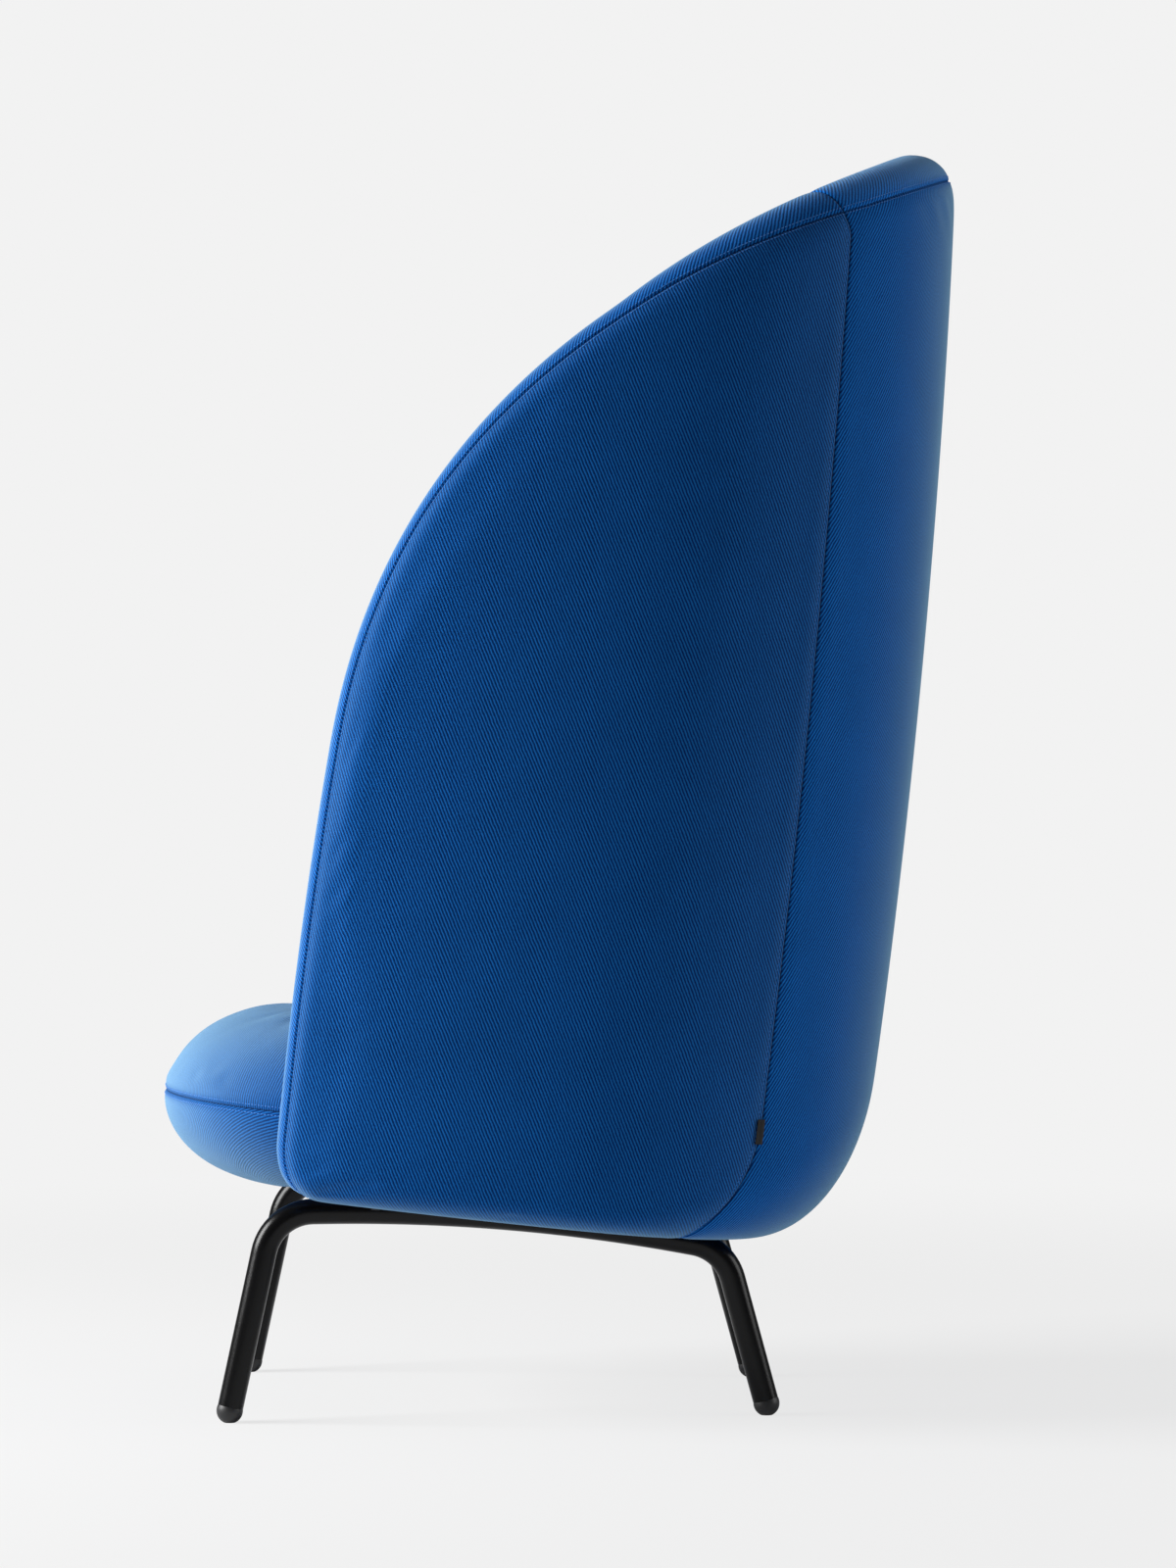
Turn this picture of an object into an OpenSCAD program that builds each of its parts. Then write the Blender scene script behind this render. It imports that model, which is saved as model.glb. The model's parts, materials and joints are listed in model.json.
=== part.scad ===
/* [Shell] */
// Width of the padded shell over its side panels, mm
shell_w = 760; // [700:5:800]
// Depth of the shell from its widest line back to the rear face, mm
shell_d = 387; // [350:1:410]
// Height of the shell along its own lean, from its lower edge to the crown, mm
shell_h = 1217; // [1100:5:1260]
// Rearward lean of the shell from upright, degrees
shell_rake = 6.1; // [4:0.1:9]
// Distance that the shell's middle stands behind the seat frame's middle, mm
shell_back = 26; // [10:2:50]
// Length of one wing round the outside, from the rear middle to the front edge, mm
wing_reach = 895; // [820:5:930]
// Distance that the wing's front edge curves back by half height, mm
wing_sweep = 15; // [0:1:40]
// Height at which the wing's straight front edge turns into its arch, mm
arch_foot = 495; // [400:5:560]
// Pull of the arch where it leaves the front edge, mm
arch_front = 480; // [380:10:540]
// Pull of the arch where it reaches the crown, mm
arch_crown = 355; // [250:10:450]
// Width over the inner faces of the wings, mm
inner_w = 636; // [580:4:680]
// Thickness of the back at its top edge, mm
back_top = 86; // [70:2:110]
// Thickness of the back behind the seat, mm
back_low = 150; // [120:5:180]
// Depth of the soft rounding at the rim of the shell, mm
rim_roll = 47.5; // [30:0.5:60]
// Height of the rounded heel at the rear foot of the shell, mm
heel_h = 183; // [120:1:220]
// Depth of the rounded heel at the rear foot of the shell, mm
heel_d = 110; // [60:2:120]
// Radius of the rounding under the side panels, mm
hem_r = 28; // [15:1:40]
// Hollow of the rear face over its height, mm
back_bow = 17; // [0:1:30]
// Thickness of the fabric with its backing, mm
cover_t = 2; // [1:0.5:4]
// Thickness of the bent plywood boards, mm
board_t = 12; // [8:1:18]

/* [Seat] */
// Width of the seat cushion, mm
seat_w = 620; // [560:5:626]
// Depth of the cushion ahead of its widest line, mm
seat_front = 309; // [260:2:340]
// Depth of the cushion behind its widest line, mm
seat_rear = 322; // [280:2:326]
// Height of the seam round the cushion above the seat frame's plane, mm
seam_h = 91; // [80:1:110]
// Height of the cushion's upper half above the seam, mm
seat_up = 98; // [70:1:120]
// Extra height of the crown in the middle of the seat, mm
seat_crown = 6; // [2:1:20]
// Reach of the rounding at the cushion's edge, mm
seat_roll = 120; // [90:5:135]
// Lean of the seat, lower at the rear, degrees
seat_rake = 5; // [2:0.5:8]
// Height of the seat frame's plane above the floor, mm
seat_base = 227; // [200:1:280]
// Thickness of the plywood deck under the seat foam, mm
deck_t = 15; // [12:1:20]
// Distance from the cushion's edge to the deck's edge, mm
deck_inset = 90; // [80:2:120]

/* [Leg frame] */
// Outer diameter of the bent steel tube, mm
tube_d = 28; // [22:1:32]
// Wall of the steel tube, mm
tube_wall = 2; // [1.5:0.5:4]
// Distance between the front feet, centre to centre, mm
foot_front_w = 500; // [420:5:540]
// Distance between the rear feet, centre to centre, mm
foot_rear_w = 380; // [320:5:460]
// Distance from the front feet to the rear feet, along the depth, mm
foot_span = 586; // [520:2:620]
// Distance that the front feet stand ahead of the frame's middle, mm
foot_front_y = 361; // [330:1:380]
// Lean of the front legs, degrees
leg_lean_front = 12.2; // [6:0.1:16]
// Lean of the rear legs, degrees
leg_lean_rear = 15.3; // [8:0.1:20]
// Radius of the tube's bends at its centre line, mm
bend_r = 55; // [45:1:70]
// Radius of the rail's gentle arch, mm
rail_arch_r = 2030; // [1800:10:4000]
// Width of the two flat steel crossbars, mm
bar_w = 50; // [30:2:60]
// Thickness of the crossbars, mm
bar_t = 8; // [5:1:10]
// Distance from the frame's middle forward to the front crossbar, mm
bar_front = 130; // [110:2:140]
// Distance from the frame's middle back to the rear crossbar, mm
bar_rear = 112; // [90:2:116]
// Radius of the domed glides, mm
glide_r = 14.4; // [14:0.2:18]
// Diameter of the flat on which each glide rests, mm
glide_flat = 12.4; // [8:0.2:16]

/* [Fasteners] */
// Thread diameter of the frame bolts, mm
bolt_d = 8; // [5:1:8]
// Diameter of the wood screws in the side rails, mm
screw_d = 5; // [4:0.5:6]

/* [Small parts] */
// Length of the woven tab along the rear seam, mm
tab_len = 27; // [15:1:40]
// Width of the woven tab, mm
tab_w = 9.5; // [6:0.5:16]
// Width of one webbing strap, mm
strap_w = 50; // [30:5:60]

/* [Hidden] */

blue = [0.16, 0.37, 0.60];
foam_yellow = [0.93, 0.88, 0.72];
ply = [0.80, 0.66, 0.45];
steel_black = [0.07, 0.07, 0.08];
zinc = [0.72, 0.73, 0.75];
cloth_black = [0.10, 0.10, 0.11];

// Gap left between neighbours that only touch
fit = 0.3;
// Distance that the seat frame's middle stands ahead of the chair's middle
seat_mid = 72;
// Distance that the shell's lower edge hangs below the seat frame's plane
shell_drop = 2;
// Powers of the superellipse curves in plan and across the rim
plan_n = 2.4;
seat_n = 2.5;
seat_rear_n = 3;
rim_n = 2.2;

// The cushion's widest line lies ahead of the shell's middle, and the shell is set back far enough
// to leave this gap between the cushion's rear and the back
seat_lead = 99;
seat_gap = 14;
seat_y = shell_back - seat_lead;
shell_y = seat_y + seat_rear + seat_gap + back_low - shell_d;

// The seat frame leans by seat_rake, the shell stands on it and leans a little more
module in_seat() {
    translate([0, -seat_mid, seat_base]) rotate([-seat_rake, 0, 0]) children();
}
module in_shell() {
    in_seat() translate([0, shell_y, -shell_drop])
        rotate([-(shell_rake - seat_rake), 0, 0]) children();
}
module mirrored(side) {
    if (side > 0) children();
    else mirror([1, 0, 0]) children();
}

// Thin or thick sheet between two like-numbered point lists, closed along its border
module sheet_solid(top, bottom, quads, border) {
    n = len(top);
    faces = concat(
        [for (q = quads) [q[0], q[2], q[1]]],
        [for (q = quads) [q[0], q[3], q[2]]],
        [for (q = quads) [n + q[0], n + q[1], n + q[2]]],
        [for (q = quads) [n + q[0], n + q[2], n + q[3]]],
        [for (i = [0 : len(border) - 1])
            let (a = border[i], b = border[(i + 1) % len(border)])
            [a, b, n + a]],
        [for (i = [0 : len(border) - 1])
            let (a = border[i], b = border[(i + 1) % len(border)])
            [n + a, b, n + b]]
    );
    polyhedron(concat(top, bottom), faces, convexity = 8);
}

// Shell in plan

// Half curve in plan: 90 degrees is the rear middle, 0 the widest line, below 0 the wing
wing_pull = 640;
function plan(a, half, depth) = a > 0
    ? [half * sign(cos(a)) * pow(abs(cos(a)), 2 / plan_n), depth * pow(sin(a), 2 / plan_n)]
    : [half * cos(a), wing_pull * sin(a)];
function plan_normal(a, half, depth) =
    let (d = plan(a - 0.5, half, depth) - plan(a + 0.5, half, depth))
    [-d.y, d.x] / norm(d);

// Arc length round the outside against the angle, from the rear middle forwards
plan_steps = 130;
function plan_step(i) = norm(plan(89 - i, shell_w / 2, shell_d) - plan(90 - i, shell_w / 2, shell_d));
plan_table = [for (i = 0, run = 0; i <= plan_steps; run = run + plan_step(i), i = i + 1) [run, 90 - i]];
function angle_at(s) = lookup(abs(s), plan_table);
function place(s, x, y, z) = [s < 0 ? -x : x, y, z];

// Shell in height

bow_mid = 511;
bow_span = 600;
function bow(z) = back_bow * pow((z - bow_mid) / bow_span, 2);
thick_from = 190;
thick_over = 900;
function back_t(z) = back_low + (back_top - back_low) * min(1, max(0, (z - thick_from) / thick_over));

// The heel is deep at the rear and shrinks to a small hem rounding along the sides
heel_span = 520;
function heel_share(s) = pow(max(0, 1 - pow(s / heel_span, 2)), 2);
function heel_height(s) = hem_r + (heel_h - hem_r) * heel_share(s);
function heel_depth(s, z) =
    let (t = max(0, 1 - z / heel_height(s)))
    (hem_r + (heel_d - hem_r) * heel_share(s)) * (1 - sqrt(1 - t * t));

function outer_point(s, z) =
    let (a = angle_at(s), deep = shell_d - bow(z),
         p = plan(a, shell_w / 2, deep), n = plan_normal(a, shell_w / 2, deep), d = heel_depth(s, z))
    place(s, p.x - n.x * d, p.y - n.y * d, z);
function inner_point(s, z) =
    let (p = plan(angle_at(s), inner_w / 2, shell_d - bow(z) - back_t(z)))
    place(s, p.x, p.y, z);
// w is 1 on the outer face, 0 in the middle and -1 on the inner face, all drawn in by d
function wall_point(s, z, w, d) =
    let (o = outer_point(s, z), i = inner_point(s, z), h = (o - i) / 2)
    (o + i) / 2 + h * w * (1 - d / norm(h));

// Bent plywood line inside the wall
board_half = (shell_w + inner_w) / 4;
board_back = 60;
board_deep = shell_d - board_back;
function board_point(s, z, off) =
    let (a = angle_at(s), p = plan(a, board_half, board_deep), n = plan_normal(a, board_half, board_deep))
    place(s, p.x + n.x * off, p.y + n.y * off, z);

// Outline of the wing, as arc length round the shell against height

edge_from = 133;
edge_unit = 400;
function edge_at(z) = wing_reach - wing_sweep * pow(max(0, z - edge_from) / edge_unit, 2);
edge_slope = 2 * wing_sweep * (arch_foot - edge_from) / pow(edge_unit, 2);
foot_edge = edge_at(arch_foot);
function bezier(t, a, b, c, d) =
    a * pow(1 - t, 3) + b * 3 * t * pow(1 - t, 2) + c * 3 * t * t * (1 - t) + d * pow(t, 3);
function arch(t) = bezier(t, [0, shell_h], [arch_crown, shell_h],
    [foot_edge - edge_slope * arch_front, arch_foot + arch_front], [foot_edge, arch_foot]);
function arch_normal(t) =
    let (a = arch(max(0, t - 0.002)), b = arch(min(1, t + 0.002)), d = b - a)
    [-d.y, d.x] / norm(d);

// Columns of the shell run upwards from its lower edge to the arch, counted from the rear middle
// to one side, and negative on the other side
cols = 10;
rows = 9;
heel_rows = 3;
seam_col = 4;
// Place on the arch of the column that the rear seam follows
seam_t = 0.33;
function col_t(j) = abs(j) <= seam_col ? seam_t * abs(j) / seam_col
    : seam_t + (1 - seam_t) * (abs(j) - seam_col) / (cols - seam_col);
// A sheet that starts above the heel has its lowest rows in a band of this share of its start
low_band = 1.4;
function side_of(j) = j < 0 ? -1 : 1;
// Top of a column, at the foot of the rim's rounding and drawn in by g
function col_top(j, g) = arch(col_t(j)) - (rim_roll + g) * arch_normal(col_t(j));
// The rear seam turns forwards near the lower edge
seam_turn = 133;
seam_forward = 70;
function seam_shift(j, z) =
    seam_forward * pow(max(0, 1 - z / seam_turn), 2) * max(0, 1 - abs(abs(j) - seam_col) / 3);
function col_s(j, z, g, turn) = side_of(j) * (abs(j) == cols
    ? edge_at(min(z, arch_foot)) - rim_roll - g
    : col_top(j, g)[0] + turn * seam_shift(j, z));
function col_z(j, i, low, g) =
    let (s = col_top(j, g)[0], h = max(low_band * low, heel_height(s)), top = col_top(j, g)[1])
    i <= heel_rows ? low + (h - low) * (1 - cos(90 * i / heel_rows))
    : h + (top - h) * (i - heel_rows) / (rows - heel_rows);

// Path along the rim, as column and row: up the front edge, across the arch, down the other edge
function rim_path(a, b) = concat(
    a == -cols ? [for (i = [0 : rows - 1]) [a, i]] : [],
    [for (j = [a : b]) [j, rows]],
    b == cols ? [for (i = [rows - 1 : -1 : 0]) [b, i]] : []);
corner_h = 60;
function rim_depth(j, i, z) =
    i == rows ? rim_roll : rim_roll * sqrt(max(0, 1 - pow(max(0, 1 - z / corner_h), 2)));
function rim_normal(j, i) =
    let (n = i == rows ? arch_normal(col_t(j)) : [1, 0]) [side_of(j) * n[0], n[1]];
function rim_round(w) = pow(max(0, 1 - pow(abs(w), rim_n)), 1 / rim_n);
function rim_point(j, i, low, w, d) =
    let (z = col_z(j, i, low, 0),
         q = [col_s(j, z, 0, 1), z] + rim_normal(j, i) * (rim_depth(j, i, z) - d) * rim_round(w))
    wall_point(q[0], max(0, q[1]), w, d);

// The seam of the band sits near the rim in front and further in at the crown
seam_w_front = 0.62;
seam_w_crown = 0.90;
function seam_w(j, i) =
    let (t = i == rows ? col_t(j) : 1)
    seam_w_crown + (seam_w_front - seam_w_crown) * min(1, max(0, (t - 0.3) / 0.5));

// Numbering of a patch from column a to column b, with strips that carry it over the rim
function strip_id(k, r, path, a, b, strips) =
    r == 0 ? (path[k][0] - a) * (rows + 1) + path[k][1]
    : (b - a + 1) * (rows + 1) + k * strips + r - 1;
function patch_quads(a, b, strips) =
    let (nr = rows + 1, path = rim_path(a, b), m = len(path))
    concat(
        [for (j = [0 : b - a - 1]) for (i = [0 : rows - 1])
            [j * nr + i, j * nr + i + 1, (j + 1) * nr + i + 1, (j + 1) * nr + i]],
        strips == 0 ? [] : [for (k = [0 : m - 2]) for (r = [0 : strips - 1])
            [strip_id(k, r, path, a, b, strips), strip_id(k, r + 1, path, a, b, strips),
             strip_id(k + 1, r + 1, path, a, b, strips), strip_id(k + 1, r, path, a, b, strips)]]);
function patch_border(a, b, strips) =
    let (nr = rows + 1, path = rim_path(a, b), m = len(path), nj = b - a)
    concat(
        [for (j = [nj : -1 : 0]) j * nr],
        strips > 0 && a == -cols ? [] : [for (i = [1 : rows]) i],
        strips == 0 ? [for (j = [1 : nj]) j * nr + rows] : concat(
            [for (r = [1 : strips]) strip_id(0, r, path, a, b, strips)],
            [for (k = [1 : m - 1]) strip_id(k, strips, path, a, b, strips)],
            [for (r = [strips - 1 : -1 : 1]) strip_id(m - 1, r, path, a, b, strips)]),
        strips > 0 && b == cols ? []
            : [for (i = [(strips > 0 ? rows : rows - 1) : -1 : 1]) nj * nr + i]);

// Points of a patch on one face of the wall, and of its strips over the rim
function face_points(a, b, low, w, d, g, turn) =
    [for (j = [a : b]) for (i = [0 : rows])
        let (z = col_z(j, i, low, g)) wall_point(col_s(j, z, g, turn), z, w, d)];
function strip_points(a, b, low, w_from, w_to, strips, d) =
    [for (p = rim_path(a, b)) for (r = [1 : strips])
        let (w_end = w_to == 0 ? seam_w(p[0], p[1]) * w_from : w_to)
        rim_point(p[0], p[1], low, w_from + (w_end - w_from) * r / strips, d)];
function board_face(a, b, low, off, g) =
    [for (j = [a : b]) for (i = [0 : rows])
        let (z = col_z(j, i, low, g)) board_point(col_s(j, z, g, 0), z, off)];

// Covers of the shell

// Panel of fabric on the outer (1) or inner (-1) face, reaching over the rim to the band's seam
module panel(a, b, low, face) {
    strips = 2;
    skin = [for (d = face > 0 ? [0, cover_t] : [cover_t, 0])
        concat(face_points(a, b, low, face, d, 0, 1), strip_points(a, b, low, face, 0, strips, d))];
    sheet_solid(skin[0], skin[1], patch_quads(a, b, strips), patch_border(a, b, strips));
}
module side_cover(side) {
    color(blue) in_shell() mirrored(side) panel(seam_col, cols, 0, 1);
}
module side_cover_left() { side_cover(1); }
module side_cover_right() { side_cover(-1); }
module rear_cover() {
    color(blue) in_shell() panel(-seam_col, seam_col, 0, 1);
}
// The linings start a little below the top of the seat
lining_low = 120;
module inner_side(side) {
    color(blue) in_shell() mirrored(side) panel(seam_col, cols, lining_low, -1);
}
module inner_cover_left() { inner_side(1); }
module inner_cover_right() { inner_side(-1); }
module inner_cover_back() {
    color(blue) in_shell() panel(-seam_col, seam_col, lining_low, -1);
}

// Band of fabric over the rim, between the seams of the outer and the inner panels
module band(path) {
    strips = 6;
    nr = strips + 1;
    m = len(path);
    skin = [for (d = [0, cover_t]) [for (p = path) for (r = [0 : strips])
        let (w = seam_w(p[0], p[1])) rim_point(p[0], p[1], 0, w * (1 - 2 * r / strips), d)]];
    quads = [for (k = [0 : m - 2]) for (r = [0 : strips - 1])
        [k * nr + r, k * nr + r + 1, (k + 1) * nr + r + 1, (k + 1) * nr + r]];
    border = concat(
        [for (k = [m - 1 : -1 : 0]) k * nr],
        [for (r = [1 : strips]) r],
        [for (k = [1 : m - 1]) k * nr + strips],
        [for (r = [strips - 1 : -1 : 1]) (m - 1) * nr + r]);
    sheet_solid(skin[0], skin[1], quads, border);
}
module wing_band(side) {
    color(blue) in_shell() mirrored(side) band(rim_path(seam_col, cols));
}
module wing_band_left() { wing_band(1); }
module wing_band_right() { wing_band(-1); }
module crown_band() {
    color(blue) in_shell() band(rim_path(-seam_col, seam_col));
}

// Foam and boards of the shell

pad_in = cover_t + fit;
// Extra depth of the foam under the bands, where the fabric pulls tight over the rim
rim_ease = 0.7;
board_outer = board_t / 2 + fit;
// Where the heel turns under the boards the pad keeps this share of its thickness at the sides
heel_share_kept = 0.54;
heel_pad = heel_share_kept * (shell_w / 2 - board_half - board_outer - pad_in);
function pad_back(s, z) =
    let (b = board_point(s, z, board_outer), t = wall_point(s, z, 1, pad_in + heel_pad))
    norm([b.x, b.y]) < norm([t.x, t.y]) ? b : t;
module outer_pad() {
    strips = 6;
    // The roll ends a little short of the inner face
    roll_end = -0.93;
    front = concat(face_points(-cols, cols, 0, 1, pad_in, 0, 1),
        strip_points(-cols, cols, 0, 1, -1, strips, pad_in + rim_ease));
    back = concat(
        [for (j = [-cols : cols]) for (i = [0 : rows])
            let (z = col_z(j, i, 0, 0)) pad_back(col_s(j, z, 0, 0), z)],
        [for (p = rim_path(-cols, cols)) for (r = [1 : strips])
            let (z = col_z(p[0], p[1], 0, 0), s = col_s(p[0], z, 0, 0),
                 from = pad_back(s, z), to = wall_point(s, z, roll_end, pad_in))
            from + (to - from) * r / strips]);
    color(foam_yellow) in_shell()
        sheet_solid(front, back, patch_quads(-cols, cols, strips), patch_border(-cols, cols, strips));
}
// The inner pad stands on the side rails
inner_pad_low = 60;
module inner_pad() {
    color(foam_yellow) in_shell() sheet_solid(
        board_face(-cols, cols, inner_pad_low, -board_outer, fit),
        face_points(-cols, cols, inner_pad_low, -1, pad_in, fit, 0),
        patch_quads(-cols, cols, 0), patch_border(-cols, cols, 0));
}
// Clearance of the boards' edges inside the foam
board_edge = 1;
module board(a, b, low) {
    color(ply) in_shell() sheet_solid(
        board_face(a, b, low, board_t / 2, board_edge), board_face(a, b, low, -board_t / 2, board_edge),
        patch_quads(a, b, 0), patch_border(a, b, 0));
}
side_board_low = 14;
// The back board ends above the turn of the heel
back_board_low = heel_h / 2 + 1;
module side_board_left() { board(seam_col, cols, side_board_low); }
module side_board_right() { board(-cols, -seam_col, side_board_low); }
module back_board() { board(-seam_col, seam_col, back_board_low); }

// Seat

// Layers over the crossbars: the dust cloth, the deck, two layers of webbing and the foam
bar_low = 1;
cloth_t = 1;
strap_t = 1.5;
cloth_z = bar_low + bar_t;
deck_z = cloth_z + cloth_t;
strap_z = deck_z + deck_t;
foam_z = strap_z + 2 * strap_t + fit;
ring_n = 30;
// One point of the seat's outline in plan, drawn in by e
function seat_edge(k, e) =
    let (a = 360 * (k + 0.5) / ring_n, c = cos(a), s = sin(a),
         deep = (s < 0 ? seat_front : seat_rear) - e, n = s < 0 ? seat_n : seat_rear_n)
    [sign(c) * (seat_w / 2 - e) * pow(abs(c), 2 / n), seat_y + sign(s) * deep * pow(abs(s), 2 / n)];
// The cushion's underside hangs lower in front of the shell than between the wings
nose_low = -1;
tail_low = 12;
nose_y = -240;
nose_fade = 60;
function under_z(y) = let (t = min(1, max(0, (y - nose_y) / nose_fade)))
    nose_low + (tail_low - nose_low) * t * t * (3 - 2 * t);
// Ring of the cushion at an inset and a height
function level_ring(e, z) = [for (k = [0 : ring_n - 1]) let (p = seat_edge(k, e)) [p.x, p.y, z]];
arc_steps = 6;
flat_reach = 80;
seat_top = seam_h + seat_up;
// Rings of the upper half from the crown outwards to the seam, drawn in by d
function upper_rings(d) = concat(
    [level_ring(seat_roll + flat_reach, seat_top - d + 0.7 * seat_crown)],
    [for (i = [arc_steps : -1 : 0]) let (a = 90 * i / arc_steps)
        level_ring(seat_roll - (seat_roll - d) * cos(a), seam_h + (seat_up - d) * sin(a))]);
// Rings of the lower half from the seam inwards to the edge of the deck, drawn in by d
pocket_in = deck_inset - 1;
function lower_rings(d) = let (last = acos((seat_roll - pocket_in) / (seat_roll - d)))
    [for (i = [0 : arc_steps]) let (a = last * i / arc_steps)
        [for (k = [0 : ring_n - 1]) let (p = seat_edge(k, seat_roll - (seat_roll - d) * cos(a)))
            [p.x, p.y, seam_h - (seam_h - under_z(p.y) - d) * sin(a)]]];
function seat_middle(d) = [0, seat_y, seat_top + seat_crown - d];

// Solid through a stack of rings, closed by a point at each end or joined round to itself
module ring_solid(rings, ends) {
    m = len(rings);
    n = len(rings[0]);
    last = len(ends) == 0 ? m - 1 : m - 2;
    walls = [for (r = [0 : last]) for (k = [0 : n - 1])
        let (q = (r + 1) % m, l = (k + 1) % n)
        [[r * n + k, r * n + l, q * n + l], [r * n + k, q * n + l, q * n + k]]];
    caps = len(ends) == 0 ? [] : concat(
        [for (k = [0 : n - 1]) [m * n, (k + 1) % n, k]],
        [for (k = [0 : n - 1]) [m * n + 1, (m - 1) * n + k, (m - 1) * n + (k + 1) % n]]);
    points = concat([for (r = rings) for (p = r) p], ends);
    polyhedron(points, concat([for (w = walls) w[0]], [for (w = walls) w[1]], caps), convexity = 8);
}
function backwards(list) = [for (i = [len(list) - 1 : -1 : 0]) list[i]];
module seat_cover_upper() {
    color(blue) in_seat() ring_solid(
        concat(upper_rings(0), backwards(upper_rings(cover_t))), [seat_middle(0), seat_middle(cover_t)]);
}
module seat_cover_lower() {
    lift = [0, 0, -fit];
    outer = [for (r = lower_rings(0)) [for (p = r) p + lift]];
    inner = [for (r = lower_rings(cover_t)) [for (p = r) p + lift]];
    color(blue) in_seat() ring_solid(concat(outer, backwards(inner)), []);
}
module seat_pad() {
    upper = upper_rings(pad_in);
    lower = lower_rings(pad_in + fit);
    rings = concat([for (i = [0 : len(upper) - 2]) upper[i]], lower, [level_ring(pocket_in, foam_z)]);
    color(foam_yellow) in_seat() ring_solid(rings, [seat_middle(pad_in), [0, seat_y, foam_z]]);
}

// Deck, webbing and cloth under the seat
window_w = 280;
window_l = 240;
window_r = 30;
window_back = 70;
window_y = seat_y + window_back;
bolt_across = [60, 140];
clear_hole = bolt_d + 0.6;
tee_barrel = bolt_d + 2.6;
tee_flange = bolt_d + 11;
tee_flange_t = 1.2;
tee_fit = 0.1;
module bolt_places() {
    for (y = [-bar_front, bar_rear]) for (x = bolt_across) for (side = [-1, 1])
        translate([side * x, y, 0]) children();
}
module rounded_window() {
    square([window_w - 2 * window_r, window_l], center = true);
    square([window_w, window_l - 2 * window_r], center = true);
    for (x = [-1, 1]) for (y = [-1, 1])
        translate([x * (window_w / 2 - window_r), y * (window_l / 2 - window_r)])
            circle(r = window_r, $fn = 48);
}
module seat_deck() {
    outline = [for (p = level_ring(deck_inset, 0)) [p.x, p.y]];
    color(ply) in_seat() difference() {
        translate([0, 0, deck_z]) linear_extrude(deck_t) difference() {
            polygon(outline);
            translate([0, window_y]) rounded_window();
        }
        bolt_places() {
            translate([0, 0, deck_z - 1]) cylinder(h = deck_t + 2, d = tee_barrel + 2 * tee_fit, $fn = 48);
            translate([0, 0, strap_z - tee_flange_t - tee_fit])
                cylinder(h = deck_t, d = tee_flange + 2 * tee_fit, $fn = 48);
        }
    }
}
// Straps cross the window and are stapled down on the deck round it
strap_over = 25;
module webbing_lengthwise() {
    color(cloth_black) in_seat() for (x = [-1, 0, 1])
        translate([x * window_w / 3 - strap_w / 2, window_y - window_l / 2 - strap_over, strap_z])
            cube([strap_w, window_l + 2 * strap_over, strap_t]);
}
module webbing_crosswise() {
    color(cloth_black) in_seat() for (y = [-1, 0, 1])
        translate([-window_w / 2 - strap_over, window_y + y * window_l / 3 - strap_w / 2, strap_z + strap_t])
            cube([window_w + 2 * strap_over, strap_w, strap_t]);
}
module tee_nuts() {
    color(zinc) in_seat() bolt_places() difference() {
        union() {
            translate([0, 0, deck_z + 3]) cylinder(h = deck_t - 3, d = tee_barrel, $fn = 48);
            translate([0, 0, strap_z - tee_flange_t]) cylinder(h = tee_flange_t, d = tee_flange, $fn = 48);
        }
        translate([0, 0, deck_z]) cylinder(h = deck_t + 1, d = bolt_d + 2 * tee_fit, $fn = 48);
    }
}
bolt_head = bolt_d * 1.75;
bolt_head_h = bolt_d * 0.6;
socket_d = bolt_d * 0.7;
module frame_bolts() {
    color(zinc) in_seat() bolt_places() difference() {
        union() {
            translate([0, 0, bar_low - bolt_head_h]) cylinder(h = bolt_head_h, d = bolt_head, $fn = 48);
            translate([0, 0, bar_low - 1]) cylinder(h = bar_t + cloth_t + deck_t - 1, d = bolt_d, $fn = 48);
        }
        translate([0, 0, bar_low - bolt_head_h - 1]) cylinder(h = bolt_head_h, d = socket_d, $fn = 6);
    }
}

// Rails along the foot of the side boards, which carry the shell on the crossbars
rail_w = 22;
rail_h = 42;
rail_from = 5;
rail_to = 9;
function rail_point(j, off) =
    let (q = board_point(col_s(j, 0, board_edge, 0), 0, -board_outer - off)) [q.x, q.y + shell_y];
screw_len = 38;
screw_head_h = 3;
screw_fit = 0.1;
// Middle of the rail where a crossbar passes under it
function rail_x(y) = lookup(-y, [for (j = [rail_from : rail_to])
    let (q = rail_point(j, rail_w / 2)) [-q.y, q.x]]);
module screw_places() {
    for (y = [-bar_front, bar_rear]) translate([rail_x(y), y, 0]) children();
}
module side_rail(side) {
    color(ply) in_seat() mirrored(side) difference() {
        translate([0, 0, deck_z]) linear_extrude(rail_h) polygon(concat(
            [for (j = [rail_from : rail_to]) rail_point(j, 0)],
            [for (j = [rail_to : -1 : rail_from]) rail_point(j, rail_w)]));
        screw_places() translate([0, 0, deck_z - 1])
            cylinder(h = screw_len - bar_t + 1, d = screw_d + 2 * screw_fit, $fn = 48);
    }
}
module side_rail_left() { side_rail(1); }
module side_rail_right() { side_rail(-1); }
module rail_screws() {
    color(zinc) in_seat() for (side = [-1, 1]) mirrored(side) screw_places() {
        translate([0, 0, bar_low - screw_head_h]) cylinder(h = screw_head_h, d = 2 * screw_d, $fn = 48);
        translate([0, 0, bar_low]) cylinder(h = screw_len, d = screw_d, $fn = 48);
    }
}

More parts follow.
